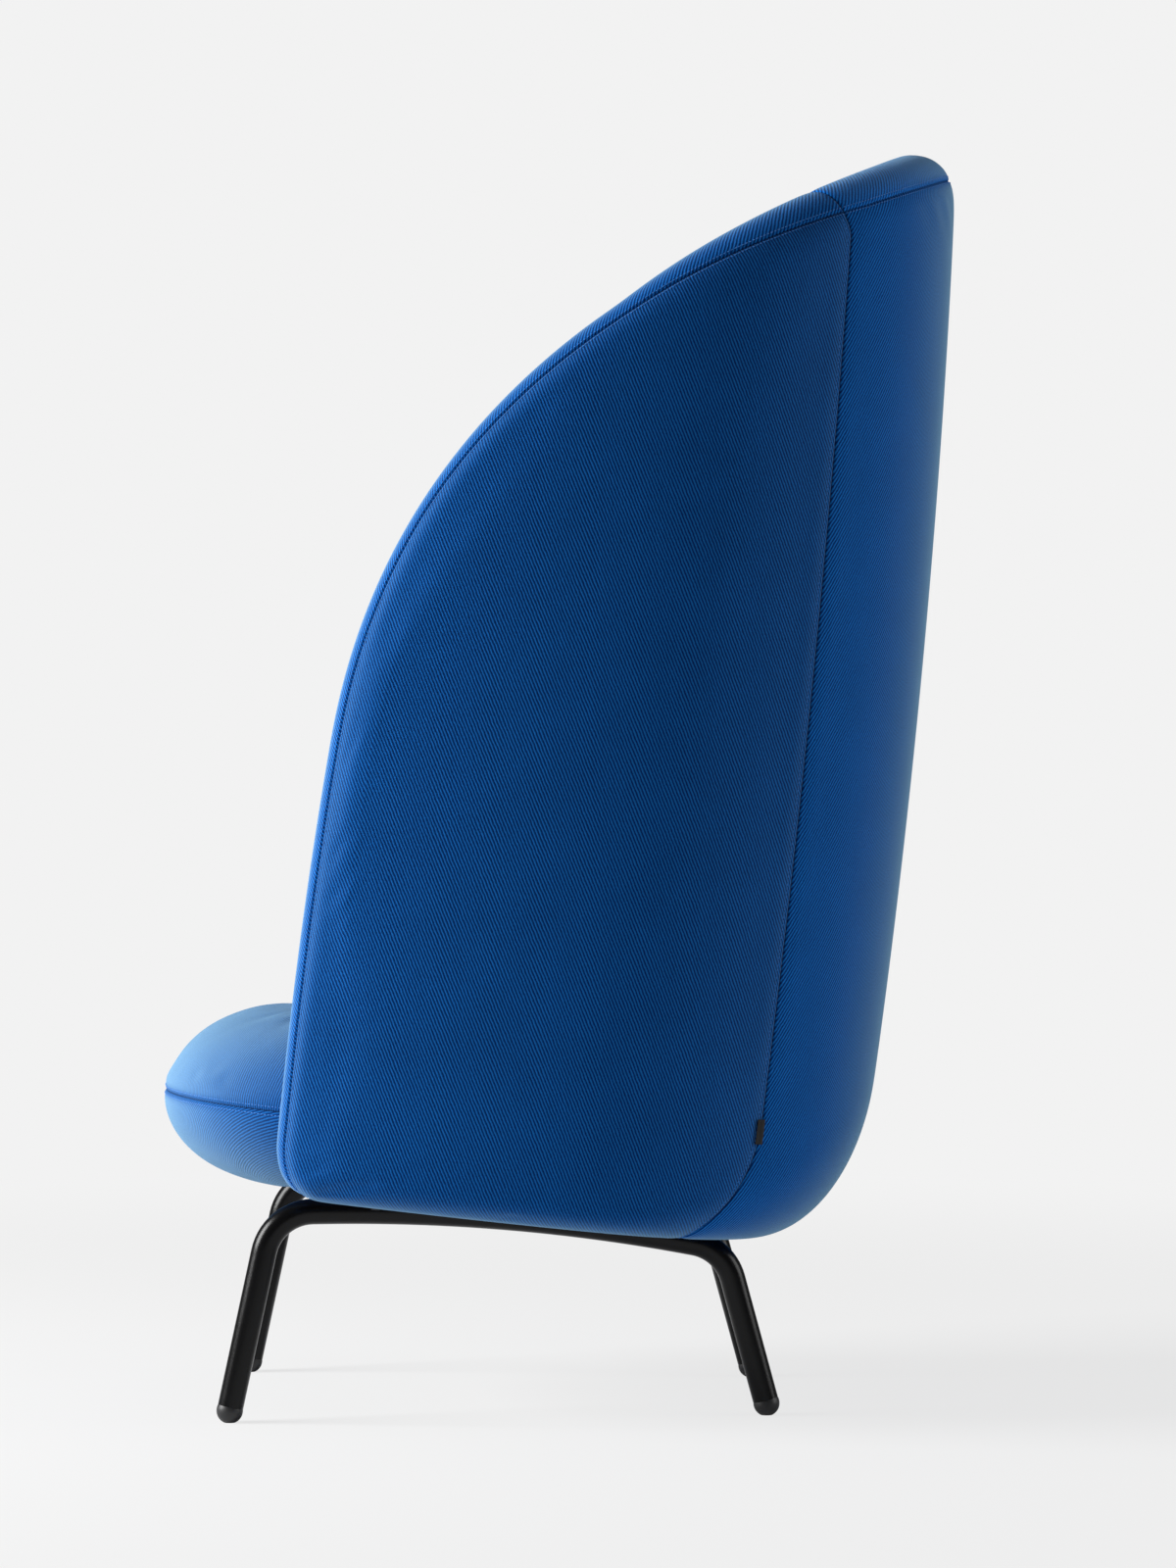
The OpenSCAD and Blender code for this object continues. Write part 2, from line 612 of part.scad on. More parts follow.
// Dust cloth clamped between the crossbars, the deck and the rails, out to the shell's lower edge
cloth_edge = 1;
cloth_ring = [for (j = [1 - cols : cols - 1])
    let (s = col_s(j, 0, 0, 0), p = pad_back(s, deck_z), b = board_point(s, 0, -board_outer),
         q = norm([b.x, b.y]) < norm([p.x, p.y]) ? b : p)
    [q.x, q.y + shell_y] * (1 - cloth_edge / norm([q.x, q.y]))];
module dust_cover() {
    color(cloth_black) in_seat() difference() {
        translate([0, 0, cloth_z]) linear_extrude(cloth_t) {
            polygon(cloth_ring);
            polygon([for (p = level_ring(deck_inset, 0)) [p.x, p.y]]);
        }
        bolt_places() translate([0, 0, cloth_z - 1]) cylinder(h = 3 * cloth_t, d = clear_hole, $fn = 48);
        for (side = [-1, 1]) mirrored(side) screw_places()
            translate([0, 0, cloth_z - 1]) cylinder(h = 3 * cloth_t, d = screw_d + 1, $fn = 48);
    }
}

// Leg frames: one bent tube a side, drawn in its own upright plane from front foot to rear foot

tube_r = tube_d / 2;
foot_in = (foot_front_w - foot_rear_w) / 2;
plane_len = norm([foot_in, foot_span]);
glide_up = sqrt(pow(glide_r, 2) - pow(glide_flat / 2, 2));
// The tube ends a little above the middle of the glide's dome
tube_end = 4.5;
// The arch of the rail rises into the crossbars by the depth of their saddles
saddle = 2.5;
rail_mid = 4;
rail_crown = pow(max(bar_front + rail_mid, bar_rear - rail_mid), 2) / (2 * rail_arch_r) + saddle;
rail_axis = bar_low + rail_crown - tube_r;
// Centre of the rail's arch in the plane of the frame
rail_centre = let (y = rail_mid, z = rail_axis - rail_arch_r)
    [y * cos(seat_rake) + z * sin(seat_rake) - seat_mid + foot_front_y,
     seat_base + z * cos(seat_rake) - y * sin(seat_rake)];
foot_points = [[0, glide_up], [plane_len, glide_up]];
leg_ways = [[sin(leg_lean_front), cos(leg_lean_front)], [-sin(leg_lean_rear), cos(leg_lean_rear)]];
// Towards the inside of the bend, square to each leg
bend_ways = [[cos(leg_lean_front), -sin(leg_lean_front)], [-cos(leg_lean_rear), -sin(leg_lean_rear)]];
// Length of each leg up to its bend, where the bend runs smoothly into the rail
function leg_run(k) =
    let (p = foot_points[k] + bend_r * bend_ways[k] - rail_centre, along = p * leg_ways[k])
    -along + sqrt(pow(along, 2) - p * p + pow(rail_arch_r - bend_r, 2));
function bend_centre(k) = foot_points[k] + leg_run(k) * leg_ways[k] + bend_r * bend_ways[k];
function way_angle(v) = atan2(v.y, v.x);
function rail_angle(k) = way_angle(bend_centre(k) - rail_centre);

module frame_plane(side) {
    translate([side * foot_front_w / 2, -foot_front_y, 0])
        rotate([0, 0, atan2(foot_span, -side * foot_in)]) rotate([90, 0, 0]) children();
}
module tube_section(outer, inner) {
    difference() {
        circle(r = outer, $fn = 64);
        if (inner > 0) circle(r = inner, $fn = 64);
    }
}
module bent_tube(centre, radius, from, to, outer, inner) {
    translate([centre.x, centre.y, 0]) rotate([0, 0, from])
        rotate_extrude(angle = to - from, $fn = 96) translate([radius, 0]) tube_section(outer, inner);
}
module straight_leg(k, outer, inner) {
    translate([foot_points[k].x, foot_points[k].y, 0])
        rotate([0, 0, way_angle(leg_ways[k])]) rotate([0, 90, 0])
            translate([0, 0, tube_end]) linear_extrude(leg_run(k) - tube_end) tube_section(outer, inner);
}
module rail_tube(outer, inner) {
    bent_tube(rail_centre, rail_arch_r, rail_angle(1), rail_angle(0), outer, inner);
}
// The wall draws a little thinner through a bend, whose ends lap into the walls they run on from
bend_thin = 0.3;
bend_lap = 1.5 / bend_r * 180 / PI;
module bend(k, from, to, outer, inner) {
    bent_tube(bend_centre(k), bend_r, from - bend_lap, to + bend_lap, outer - bend_thin, inner + bend_thin);
}
module leg_frame(side) {
    inner = tube_r - tube_wall;
    color(steel_black) frame_plane(side) {
        straight_leg(0, tube_r, inner);
        straight_leg(1, tube_r, inner);
        bend(0, rail_angle(0), way_angle(-bend_ways[0]), tube_r, inner);
        bend(1, way_angle(-bend_ways[1]), rail_angle(1), tube_r, inner);
        rail_tube(tube_r, inner);
    }
}
module leg_frame_left() { leg_frame(1); }
module leg_frame_right() { leg_frame(-1); }

// Glides: a dome under the tube's end and a plug inside it
plug_len = 20;
plug_fit = 0.15;
module glide(side, k) {
    color(steel_black) intersection() {
        frame_plane(side) translate([foot_points[k].x, foot_points[k].y, 0])
            rotate([0, 0, way_angle(leg_ways[k])]) rotate([0, 90, 0]) {
                intersection() {
                    sphere(r = glide_r, $fn = 64);
                    translate([0, 0, tube_end - 2 * glide_r]) cylinder(h = 2 * glide_r, r = 2 * glide_r);
                }
                cylinder(h = tube_end + plug_len, r = tube_r - tube_wall - plug_fit, $fn = 64);
            }
        translate([-foot_front_w, -foot_span, 0]) cube([2 * foot_front_w, 2 * foot_span, 3 * plug_len]);
    }
}
module foot_glide_front_left() { glide(1, 0); }
module foot_glide_front_right() { glide(-1, 0); }
module foot_glide_rear_left() { glide(1, 1); }
module foot_glide_rear_right() { glide(-1, 1); }

// Crossbars lie across both tubes, with a round saddle cut for each
bar_half = min(rail_x(-bar_front), rail_x(bar_rear)) + rail_w / 2 - 4;
module crossbar(y) {
    color(steel_black) difference() {
        in_seat() difference() {
            translate([-bar_half, y - bar_w / 2, bar_low]) cube([2 * bar_half, bar_w, bar_t]);
            bolt_places() translate([0, 0, bar_low - 1]) cylinder(h = bar_t + 2, d = clear_hole, $fn = 48);
            for (side = [-1, 1]) mirrored(side) screw_places()
                translate([0, 0, bar_low - 1]) cylinder(h = bar_t + 2, d = screw_d + 1, $fn = 48);
        }
        for (side = [-1, 1]) frame_plane(side) rail_tube(tube_r + fit / 2, 0);
    }
}
module crossbar_front() { crossbar(-bar_front); }
module crossbar_rear() { crossbar(bar_rear); }

// Woven tab caught in the left rear seam, lying forwards on the side panel from its fold behind the seam
tab_t = 1;
tab_low = 110;
tab_behind = 3;
module label_tab() {
    low = outer_point(col_s(seam_col, tab_low, 0, 1) - tab_behind, tab_low);
    high = outer_point(col_s(seam_col, tab_low + tab_len, 0, 1) - tab_behind, tab_low + tab_len);
    front = outer_point(col_s(seam_col, tab_low, 0, 1) - tab_behind + tab_w, tab_low);
    u = (front - low) / norm(front - low);
    v = (high - low) / norm(high - low);
    n = cross(v, u);
    base = low - n * fit;
    corners = [base, base + v * tab_len, base + v * tab_len + u * tab_w, base + u * tab_w];
    color(cloth_black) in_shell() sheet_solid(
        [for (p = corners) p + n * tab_t], corners,
        [[0, 1, 2, 3]], [3, 0, 1, 2]);
}

leg_frame_left();
leg_frame_right();
foot_glide_front_left();
foot_glide_front_right();
foot_glide_rear_left();
foot_glide_rear_right();
crossbar_front();
crossbar_rear();
frame_bolts();
tee_nuts();
seat_deck();
webbing_lengthwise();
webbing_crosswise();
seat_pad();
seat_cover_upper();
seat_cover_lower();
side_rail_left();
side_rail_right();
rail_screws();
side_board_left();
side_board_right();
back_board();
outer_pad();
inner_pad();
side_cover_left();
side_cover_right();
rear_cover();
wing_band_left();
wing_band_right();
crown_band();
inner_cover_left();
inner_cover_right();
inner_cover_back();
dust_cover();
label_tab();
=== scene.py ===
"""High-backed easy chair: covers, cushion, bent tubes and stage, dressed round the chair's solids."""
import json
import math

import bpy
import numpy as np
from bpy.props import FloatProperty, FloatVectorProperty, IntProperty, PointerProperty
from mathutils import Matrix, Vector, kdtree
from mathutils.bvhtree import BVHTree


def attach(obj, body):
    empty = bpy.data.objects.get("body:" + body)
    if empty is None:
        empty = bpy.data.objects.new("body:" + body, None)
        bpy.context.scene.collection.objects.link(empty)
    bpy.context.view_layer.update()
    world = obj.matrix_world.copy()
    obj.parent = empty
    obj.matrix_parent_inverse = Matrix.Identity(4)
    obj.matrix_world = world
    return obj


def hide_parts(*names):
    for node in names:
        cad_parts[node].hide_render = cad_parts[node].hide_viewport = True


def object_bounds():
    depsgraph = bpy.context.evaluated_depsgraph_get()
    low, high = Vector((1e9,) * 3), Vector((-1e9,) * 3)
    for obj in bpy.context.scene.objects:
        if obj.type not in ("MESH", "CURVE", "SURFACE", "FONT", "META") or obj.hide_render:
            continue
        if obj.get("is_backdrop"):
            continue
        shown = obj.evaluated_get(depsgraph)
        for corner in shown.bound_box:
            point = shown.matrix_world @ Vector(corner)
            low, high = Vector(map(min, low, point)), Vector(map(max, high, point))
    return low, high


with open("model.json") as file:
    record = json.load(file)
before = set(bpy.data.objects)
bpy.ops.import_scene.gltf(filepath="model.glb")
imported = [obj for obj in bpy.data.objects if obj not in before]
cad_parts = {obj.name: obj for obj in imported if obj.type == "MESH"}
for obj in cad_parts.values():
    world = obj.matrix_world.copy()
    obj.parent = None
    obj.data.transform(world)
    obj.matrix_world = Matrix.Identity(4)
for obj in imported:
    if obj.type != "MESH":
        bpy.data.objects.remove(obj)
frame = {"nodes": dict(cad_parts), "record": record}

bl_info = {
    "name": "Easy Chair Dresser",
    "version": (1, 0, 0),
    "blender": (4, 5, 0),
    "location": "3D View > Sidebar > Easy Chair",
    "description": "Covers, cushion, tubes and stage for a high-backed easy chair",
    "category": "Object",
}

SOLID_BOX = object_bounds()
BODY = "root"


# Sizes and colours that a user would change


def length(name, description, default, low=0.0, high=3.0):
    """A size in metres for a property group"""
    return FloatProperty(name=name, description=description, default=default, min=low, max=high,
                         subtype="DISTANCE", unit="LENGTH", precision=4)


def angle(name, description, degrees):
    """An angle for a property group"""
    return FloatProperty(name=name, description=description, default=math.radians(degrees),
                         subtype="ANGLE", unit="ROTATION")


def share(name, description, default, high=1.0):
    """A plain factor for a property group"""
    return FloatProperty(name=name, description=description, default=default, min=0.0, max=high,
                         subtype="FACTOR")


def colour(name, description, red, green, blue):
    """A colour for a property group, given as the eye sees it, from 0 to 255"""
    linear = [((c / 255 + 0.055) / 1.055) ** 2.4 if c > 10 else c / 255 / 12.92 for c in (red, green, blue)]
    return FloatVectorProperty(name=name, description=description, default=linear, size=3,
                               min=0.0, max=1.0, subtype="COLOR")


class ShellSizes(bpy.types.PropertyGroup):
    """Sizes of the padded shell"""
    width: length("Width", "Width over the side panels", 0.760)
    depth: length("Depth", "Depth from the widest line to the rear face", 0.387)
    height: length("Height", "Height along the shell's own lean", 1.217)
    rake: angle("Rake", "Rearward lean of the shell", 6.1)
    inner_width: length("Inner width", "Width between the wings", 0.636)
    wing_reach: length("Wing reach", "Length of a wing round the outside", 0.895)
    wing_sweep: length("Wing sweep", "Distance that the front edge curves back", 0.015)
    arch_foot: length("Arch foot", "Height where the front edge turns into its arch", 0.495)
    arch_front: length("Arch front pull", "Pull of the arch at the front edge", 0.480)
    arch_crown: length("Arch crown pull", "Pull of the arch at the crown", 0.355)
    back_top: length("Back at the top", "Thickness of the back at its top edge", 0.086)
    back_low: length("Back at the seat", "Thickness of the back behind the seat", 0.150)
    rim_roll: length("Rim roll", "Depth of the soft rounding at the rim", 0.0475)
    heel_height: length("Heel height", "Height of the rounded heel", 0.183)
    heel_depth: length("Heel depth", "Depth of the rounded heel", 0.110)
    hem: length("Hem radius", "Rounding under the side panels", 0.028)
    bow: length("Bow", "Hollow of the rear face over its height", 0.017)
    groove: length("Seam groove", "Depth of the groove in which a seam lies", 0.0017)
    pull: length("Seam pull", "Depth to which a seam draws the foam in", 0.0009)


class SeatSizes(bpy.types.PropertyGroup):
    """Sizes of the seat cushion and of the plane that it stands on"""
    width: length("Width", "Width of the cushion", 0.620)
    front: length("Front", "Depth ahead of the cushion's widest line", 0.309)
    rear: length("Rear", "Depth behind the cushion's widest line", 0.322)
    seam: length("Seam height", "Height of the seam over the seat frame's plane", 0.091)
    rise: length("Rise", "Height of the upper half", 0.098)
    crown: length("Crown", "Extra height in the middle", 0.006)
    roll: length("Roll", "Reach of the rounding at the edge", 0.120)
    inset: length("Deck inset", "Distance from the cushion's edge to the deck's", 0.089)
    rake: angle("Rake", "Lean of the seat, lower at the rear", 5.0)
    base: length("Base", "Height of the seat frame's plane", 0.227)
    middle: length("Middle", "Distance that the seat's middle stands ahead", 0.072)
    lead: length("Lead", "Distance from the seat's middle to the cushion's widest line", 0.073)
    shell_set: length("Shell set-back", "Distance that the shell stands behind the seat's middle", 0.026)
    shell_drop: length("Shell drop", "Distance that the shell hangs below the seat's plane", 0.002)


class TubeSizes(bpy.types.PropertyGroup):
    """Sizes of the bent steel tubes"""
    diameter: length("Diameter", "Outer diameter of the tube", 0.028)
    front_feet: length("Front feet", "Distance between the front feet", 0.500)
    rear_feet: length("Rear feet", "Distance between the rear feet", 0.380)
    span: length("Span", "Distance from the front to the rear feet", 0.586)
    front: length("Front", "Distance that the front feet stand ahead", 0.361)
    front_lean: angle("Front lean", "Lean of the front legs", 12.2)
    rear_lean: angle("Rear lean", "Lean of the rear legs", 15.3)
    bend: length("Bend", "Radius of the bends at the centre line", 0.055)
    arch: length("Arch", "Radius of the rail's gentle arch", 2.030)
    sides: IntProperty(name="Sides", description="Facets round the tube", default=56, min=16, max=96)


class ClothLook(bpy.types.PropertyGroup):
    """Colours and weave of the covers"""
    rib: colour("Rib", "Raised ribs of the twill", 20, 106, 188)
    # Painted shade: the hollows between the ribs get this darker colour
    shaded_valley: colour("Valley", "Hollows between the ribs", 0, 32, 88)
    fleck: colour("Fleck", "Paler fibres in the yarn", 62, 146, 212)
    thread: colour("Thread", "Topstitching thread", 34, 112, 192)
    pitch: length("Rib pitch", "Distance from rib to rib", 0.0034)
    # Painted sheen: this pale colour is mixed into the base colour where the cloth is seen edge-on, by the share below
    fuzz_and_painted_sheen: colour("Fuzz", "Fine fibres that catch the light at a grazing angle", 142, 184, 208)
    painted_sheen_share: share("Fuzz share", "Share of the fuzz where the cloth is seen edge-on", 0.62)
    sheen: share("Sheen", "Soft sheen of the wool", 0.30)
    side_ribs: angle("Side ribs", "Slant of the ribs on the side panels", 118.0)
    rear_ribs: angle("Rear ribs", "Slant of the ribs on the rear panel", 60.0)
    band_ribs: angle("Band ribs", "Slant of the ribs on the rim's bands", 48.0)
    seat_ribs: angle("Seat ribs", "Slant of the ribs on the cushion's upper half", 38.0)
    nose_ribs: angle("Nose ribs", "Slant of the ribs on the cushion's lower half", 104.0)


class StageLook(bpy.types.PropertyGroup):
    """Colours and light of the stage"""
    ground: colour("Ground", "Colour of the floor and of the background", 242, 242, 242)
    key: FloatProperty(name="Key light", description="Power of the light in front of the chair",
                       default=280.0, min=0.0, unit="POWER")
    fill: FloatProperty(name="Fill light", description="Power of the light behind the chair",
                        default=56.0, min=0.0, unit="POWER")
    top: FloatProperty(name="Top light", description="Power of the light over the chair",
                       default=18.0, min=0.0, unit="POWER")
    air: share("Air light", "Even light from all round", 0.018)
    shadow: share("Shadow", "Share of the floor's own shading that shows by the chair", 0.16)
    floor_level: share("Floor level", "Brightness of the lit floor by the chair", 0.99, high=3.0)


def sizes(name):
    """One of the property groups that main() hangs on the scene"""
    return getattr(bpy.context.scene, "chair_" + name)


# Meshes


def add_mesh(name, points, faces, cloth=None):
    """A new object from points and faces; cloth holds each point's place on the flat cloth, in metres"""
    mesh = bpy.data.meshes.new(name)
    mesh.from_pydata([tuple(p) for p in np.asarray(points, float).tolist()], [], faces)
    mesh.update()
    obj = bpy.data.objects.new(name, mesh)
    bpy.context.scene.collection.objects.link(obj)
    if cloth is not None:
        layer = mesh.uv_layers.new(name="cloth")
        order = np.empty(len(mesh.loops), int)
        mesh.loops.foreach_get("vertex_index", order)
        layer.data.foreach_set("uv", np.asarray(cloth, float)[order].ravel())
    return obj


def mesh_points(obj):
    """All of an object's points as an array"""
    points = np.empty(len(obj.data.vertices) * 3)
    obj.data.vertices.foreach_get("co", points)
    return points.reshape(-1, 3)


def set_points(obj, points):
    """Write an array of points back into an object's mesh"""
    obj.data.vertices.foreach_set("co", np.asarray(points, float).ravel())
    obj.data.update()


def mesh_normals(obj):
    """The normal at each point of an object"""
    normals = np.empty(len(obj.data.vertices) * 3)
    obj.data.vertices.foreach_get("normal", normals)
    return normals.reshape(-1, 3)


def deselect():
    """Leave nothing selected"""
    for other in bpy.context.selected_objects:
        other.select_set(False)


def pick(obj):
    """Make this object the selection and the active one"""
    deselect()
    obj.select_set(True)
    bpy.context.view_layer.objects.active = obj


def apply_modifier(obj, kind, **values):
    """Add a modifier with these values and apply it at once"""
    modifier = obj.modifiers.new(kind.title(), kind)
    for name, value in values.items():
        setattr(modifier, name, value)
    pick(obj)
    bpy.ops.object.modifier_apply(modifier=modifier.name)


def mark_points(obj, name, values):
    """Keep a number on each point, for the material to read"""
    obj.data.attributes.new(name, "FLOAT", "POINT").data.foreach_set("value", values)


def smooth(obj):
    """Shade every face smooth"""
    obj.data.polygons.foreach_set("use_smooth", [True] * len(obj.data.polygons))


def grid_faces(rows, columns):
    """Quads of a grid of points that is numbered row by row"""
    return [(r * columns + c, r * columns + c + 1, (r + 1) * columns + c + 1, (r + 1) * columns + c)
            for r in range(rows - 1) for c in range(columns - 1)]


def dress(obj, material, *nodes, slot=None):
    """Give a finished piece its material, let it ride, and let it stand for its solids"""
    obj.data.materials.clear()
    obj.data.materials.append(material)
    smooth(obj)
    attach(obj, BODY)
    if nodes:
        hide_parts(*nodes)
    return obj


# Shape of the shell

PLAN_POWER = 2.4
RIM_POWER = 2.2
WING_PULL = 0.640
BOW_MIDDLE = 0.511
BOW_SPAN = 0.600
THICK_FROM = 0.190
THICK_OVER = 0.900
HEEL_SPAN = 0.520
EDGE_FROM = 0.133
EDGE_UNIT = 0.400
COLUMNS = 10
SEAM_COLUMN = 4
SEAM_AT = 0.33
SEAM_TURN = 0.133
SEAM_FORWARD = 0.070
# Columns on each side of the rear seam that turn forward with it
SEAM_DRAWS = 3
CORNER = 0.060
# The panels reach further over the rim at the front edge than at the crown, and change over along the arch
SEAM_FRONT = 0.62
SEAM_CROWN = 0.90
SEAM_EASE_FROM = 0.3
SEAM_EASE_OVER = 0.5
LINING_LOW = 0.045
# Where the plan's curve ends on the wing and its steps on the way there, in degrees
WING_END = -41.0
PLAN_STEP = 0.5
TURN_STEP = math.radians(PLAN_STEP)
ARCH_STEP = 0.002


def leaned(points, rake, y, z):
    """Points leaned back by rake round the X axis and then moved"""
    c, s = math.cos(rake), math.sin(rake)
    return np.stack([points[..., 0], points[..., 1] * c + points[..., 2] * s + y,
                     points[..., 2] * c - points[..., 1] * s + z], -1)


def on_seat(points):
    """Points of the seat frame's own plane, set on the leg frame"""
    seat = sizes("seat")
    return leaned(points, seat.rake, -seat.middle, seat.base)


class Shell:
    """The shell's faces, where s runs round the outside from the rear middle and z up the shell"""

    def __init__(self):
        self.p = sizes("shell")
        self.seat = sizes("seat")
        self.angles = np.radians(np.arange(90.0, WING_END, -PLAN_STEP))
        x, y = self.plan(self.angles, self.p.width / 2, self.p.depth)
        self.run = np.concatenate([[0], np.cumsum(np.hypot(np.diff(x), np.diff(y)))])
        self.edge_slope = 2 * self.p.wing_sweep * (self.p.arch_foot - EDGE_FROM) / EDGE_UNIT ** 2
        self.foot_edge = self.edge(self.p.arch_foot)

    def plan(self, a, half, deep):
        """Half curve in plan: 90 degrees at the rear middle, 0 at the widest line, less on the wing"""
        rear = a > 0
        x = half * np.where(rear, np.sign(np.cos(a)) * np.abs(np.cos(a)) ** (2 / PLAN_POWER), np.cos(a))
        y = np.where(rear, deep * np.abs(np.sin(a)) ** (2 / PLAN_POWER), WING_PULL * np.sin(a))
        return x, y

    def hollow(self, z):
        """How far the rear face is drawn in at a height"""
        return self.p.bow * ((z - BOW_MIDDLE) / BOW_SPAN) ** 2

    def heel_part(self, s):
        """Share of the rear middle's heel that a place round the shell still has"""
        return np.clip(1 - (s / HEEL_SPAN) ** 2, 0, 1) ** 2

    def heel_top(self, s):
        """Height at which the rounded heel ends"""
        return self.p.hem + (self.p.heel_height - self.p.hem) * self.heel_part(s)

    def heel(self, s, z):
        """Distance that the rounded heel draws the outer face in"""
        deep = self.p.hem + (self.p.heel_depth - self.p.hem) * self.heel_part(s)
        t = np.clip(1 - z / self.heel_top(s), 0, 1)
        return deep * (1 - np.sqrt(1 - t * t))

    def outer(self, s, z):
        """Point of the outer face"""
        a = np.interp(np.abs(s), self.run, self.angles)
        half, deep = self.p.width / 2, self.p.depth - self.hollow(z)
        x, y = self.plan(a, half, deep)
        x1, y1 = self.plan(a - TURN_STEP, half, deep)
        x0, y0 = self.plan(a + TURN_STEP, half, deep)
        run, d = np.hypot(x1 - x0, y1 - y0), self.heel(s, z)
        x = x + (y1 - y0) / run * d
        y = y - (x1 - x0) / run * d
        return np.stack([np.where(s < 0, -x, x), y, z + 0 * x], -1)

    def inner(self, s, z):
        """Point of the inner face"""
        a = np.interp(np.abs(s), self.run, self.angles)
        climb = np.clip((z - THICK_FROM) / THICK_OVER, 0, 1)
        thick = self.p.back_low + (self.p.back_top - self.p.back_low) * climb
        x, y = self.plan(a, self.p.inner_width / 2, self.p.depth - self.hollow(z) - thick)
        return np.stack([np.where(s < 0, -x, x), y, z + 0 * x], -1)

    def wall(self, s, z, w):
        """Point of the wall: w is 1 on the outer face and -1 on the inner face"""
        o, i = self.outer(s, z), self.inner(s, z)
        return (o + i) / 2 + (o - i) / 2 * np.asarray(w)[..., None]

    def edge(self, z):
        """Arc length of the front edge at a height"""
        return self.p.wing_reach - self.p.wing_sweep * (np.maximum(0, z - EDGE_FROM) / EDGE_UNIT) ** 2

    def arch(self, t):
        """Point of the rim's arch in s and z, from the crown to its foot on the front edge"""
        t = np.asarray(t, float)[..., None]
        a, b = np.array([0, self.p.height]), np.array([self.p.arch_crown, self.p.height])
        d = np.array([self.foot_edge, self.p.arch_foot])
        c = d + np.array([-self.edge_slope * self.p.arch_front, self.p.arch_front])
        return a * (1 - t) ** 3 + 3 * b * t * (1 - t) ** 2 + 3 * c * t * t * (1 - t) + d * t ** 3

    def arch_normal(self, t):
        """Way out of the shell, square to the arch"""
        d = self.arch(np.minimum(1, t + ARCH_STEP)) - self.arch(np.maximum(0, t - ARCH_STEP))
        return np.stack([-d[..., 1], d[..., 0]], -1) / np.linalg.norm(d, axis=-1, keepdims=True)

    def arch_at(self, u):
        """Place on the arch of a column, counted from the rear middle"""
        u = np.abs(u)
        return np.where(u <= SEAM_COLUMN, SEAM_AT * u / SEAM_COLUMN,
                        SEAM_AT + (1 - SEAM_AT) * (u - SEAM_COLUMN) / (COLUMNS - SEAM_COLUMN))

    def column_top(self, u):
        """Point in s and z where a column ends and the rim's rounding starts"""
        t = self.arch_at(u)
        return self.arch(t) - self.p.rim_roll * self.arch_normal(t)

    def edge_lean(self, z):
        """Slope of the front edge, from a height of the rounding's foot"""
        slope = lambda h: 2 * self.p.wing_sweep * np.maximum(0, h - EDGE_FROM) / EDGE_UNIT ** 2
        return slope(z + self.p.rim_roll * slope(z))

    def edge_foot(self, z):
        """Arc length at which the rim's rounding starts behind the front edge"""
        g = self.edge_lean(z)
        return self.edge(z + self.p.rim_roll * g) - self.p.rim_roll / np.sqrt(1 + g * g)

    def column_s(self, u, z):
        """Arc length of a column at a height; the columns by the rear seam turn forward at the foot"""
        top = self.column_top(u)
        lean = np.clip(np.abs(u) - (COLUMNS - 1), 0, 1) * (self.edge_foot(z) - self.edge_foot(top[..., 1]))
        turn = SEAM_FORWARD * np.maximum(0, 1 - z / SEAM_TURN) ** 2
        turn = turn * np.maximum(0, 1 - np.abs(np.abs(u) - SEAM_COLUMN) / SEAM_DRAWS)
        return np.where(u < 0, -1, 1) * (top[..., 0] + lean + turn)

    def seam_angle(self, t):
        """How far the panel reaches over the rim before the band's seam"""
        w = SEAM_CROWN + (SEAM_FRONT - SEAM_CROWN) * np.clip((t - SEAM_EASE_FROM) / SEAM_EASE_OVER, 0, 1)
        return np.arccos(w ** (RIM_POWER / 2))

    def rim(self, foot, normal, deep, phi):
        """Point of the rim's rounding: phi is 0 on the outer face and half a turn on the inner face"""
        w = np.sign(np.cos(phi)) * np.abs(np.cos(phi)) ** (2 / RIM_POWER)
        q = foot + normal * (deep * np.abs(np.sin(phi)) ** (2 / RIM_POWER))[..., None]
        return self.wall(q[..., 0], np.maximum(0, q[..., 1]), w)

    def corner(self, z):
        """Depth of the rounding, which shrinks to nothing at the lower front corner"""
        return self.p.rim_roll * np.sqrt(np.clip(1 - np.maximum(0, 1 - z / CORNER) ** 2, 0, 1))

    def over_seat(self, points):
        """Points of the shell's own frame, in the plane of the seat frame"""
        seat = self.seat
        return leaned(points, self.p.rake - seat.rake, seat.shell_set, -seat.shell_drop)

    def stand(self, points):
        """Points of the shell's own frame, where they are in the chair"""
        return on_seat(self.over_seat(points))


# Distances from a seam of the lines of points next to it
BY_SEAM = (0.0, 0.0012, 0.0026, 0.0044, 0.0068, 0.0100, 0.0145, 0.021)


def fine_to_coarse(span, step, both=False):
    """Fractions from 0 to 1 that start closely spaced at a seam, and end so too if both is set"""
    near = np.array(BY_SEAM)
    far_end = near[::-1] if both else np.array([0.0])
    first, last = near[-1], span - (near[-1] if both else 0.0)
    middle = np.linspace(first, last, max(2, int(round((last - first) / step)) + 1))[1:-1]
    return np.concatenate([near, middle, span - far_end]) / span


CELL = 0.0115
RIM_CELL = 0.006
# Reach of a panel's strip over the rim, and of the band between two such strips
STRIP_SPAN = 0.045
BAND_SPAN = 0.085
HEEL_ROWS = 20
# Least height at which the dense rows by the heel end, as a multiple of the height where the cover starts
HEEL_LEAST = 1.4
# A row of stitches lies on this line of points, counted from the seam's own
ROW_AT = 4
CLOTH_THICK = 0.0012
# Height and wall share of each row of the strip under the shell, from its tucked edge out
UNDER = ((0.0035, -0.94), (0.0, -0.86), (0.0, -0.55), (0.0, -0.2), (0.0, 0.15), (0.0, 0.5), (0.0, 0.8))
# How far behind the front edge and how high each tucked end of a band lies
TUCKS = ((0.006, 0.0), (0.012, 0.004), (0.020, 0.010))


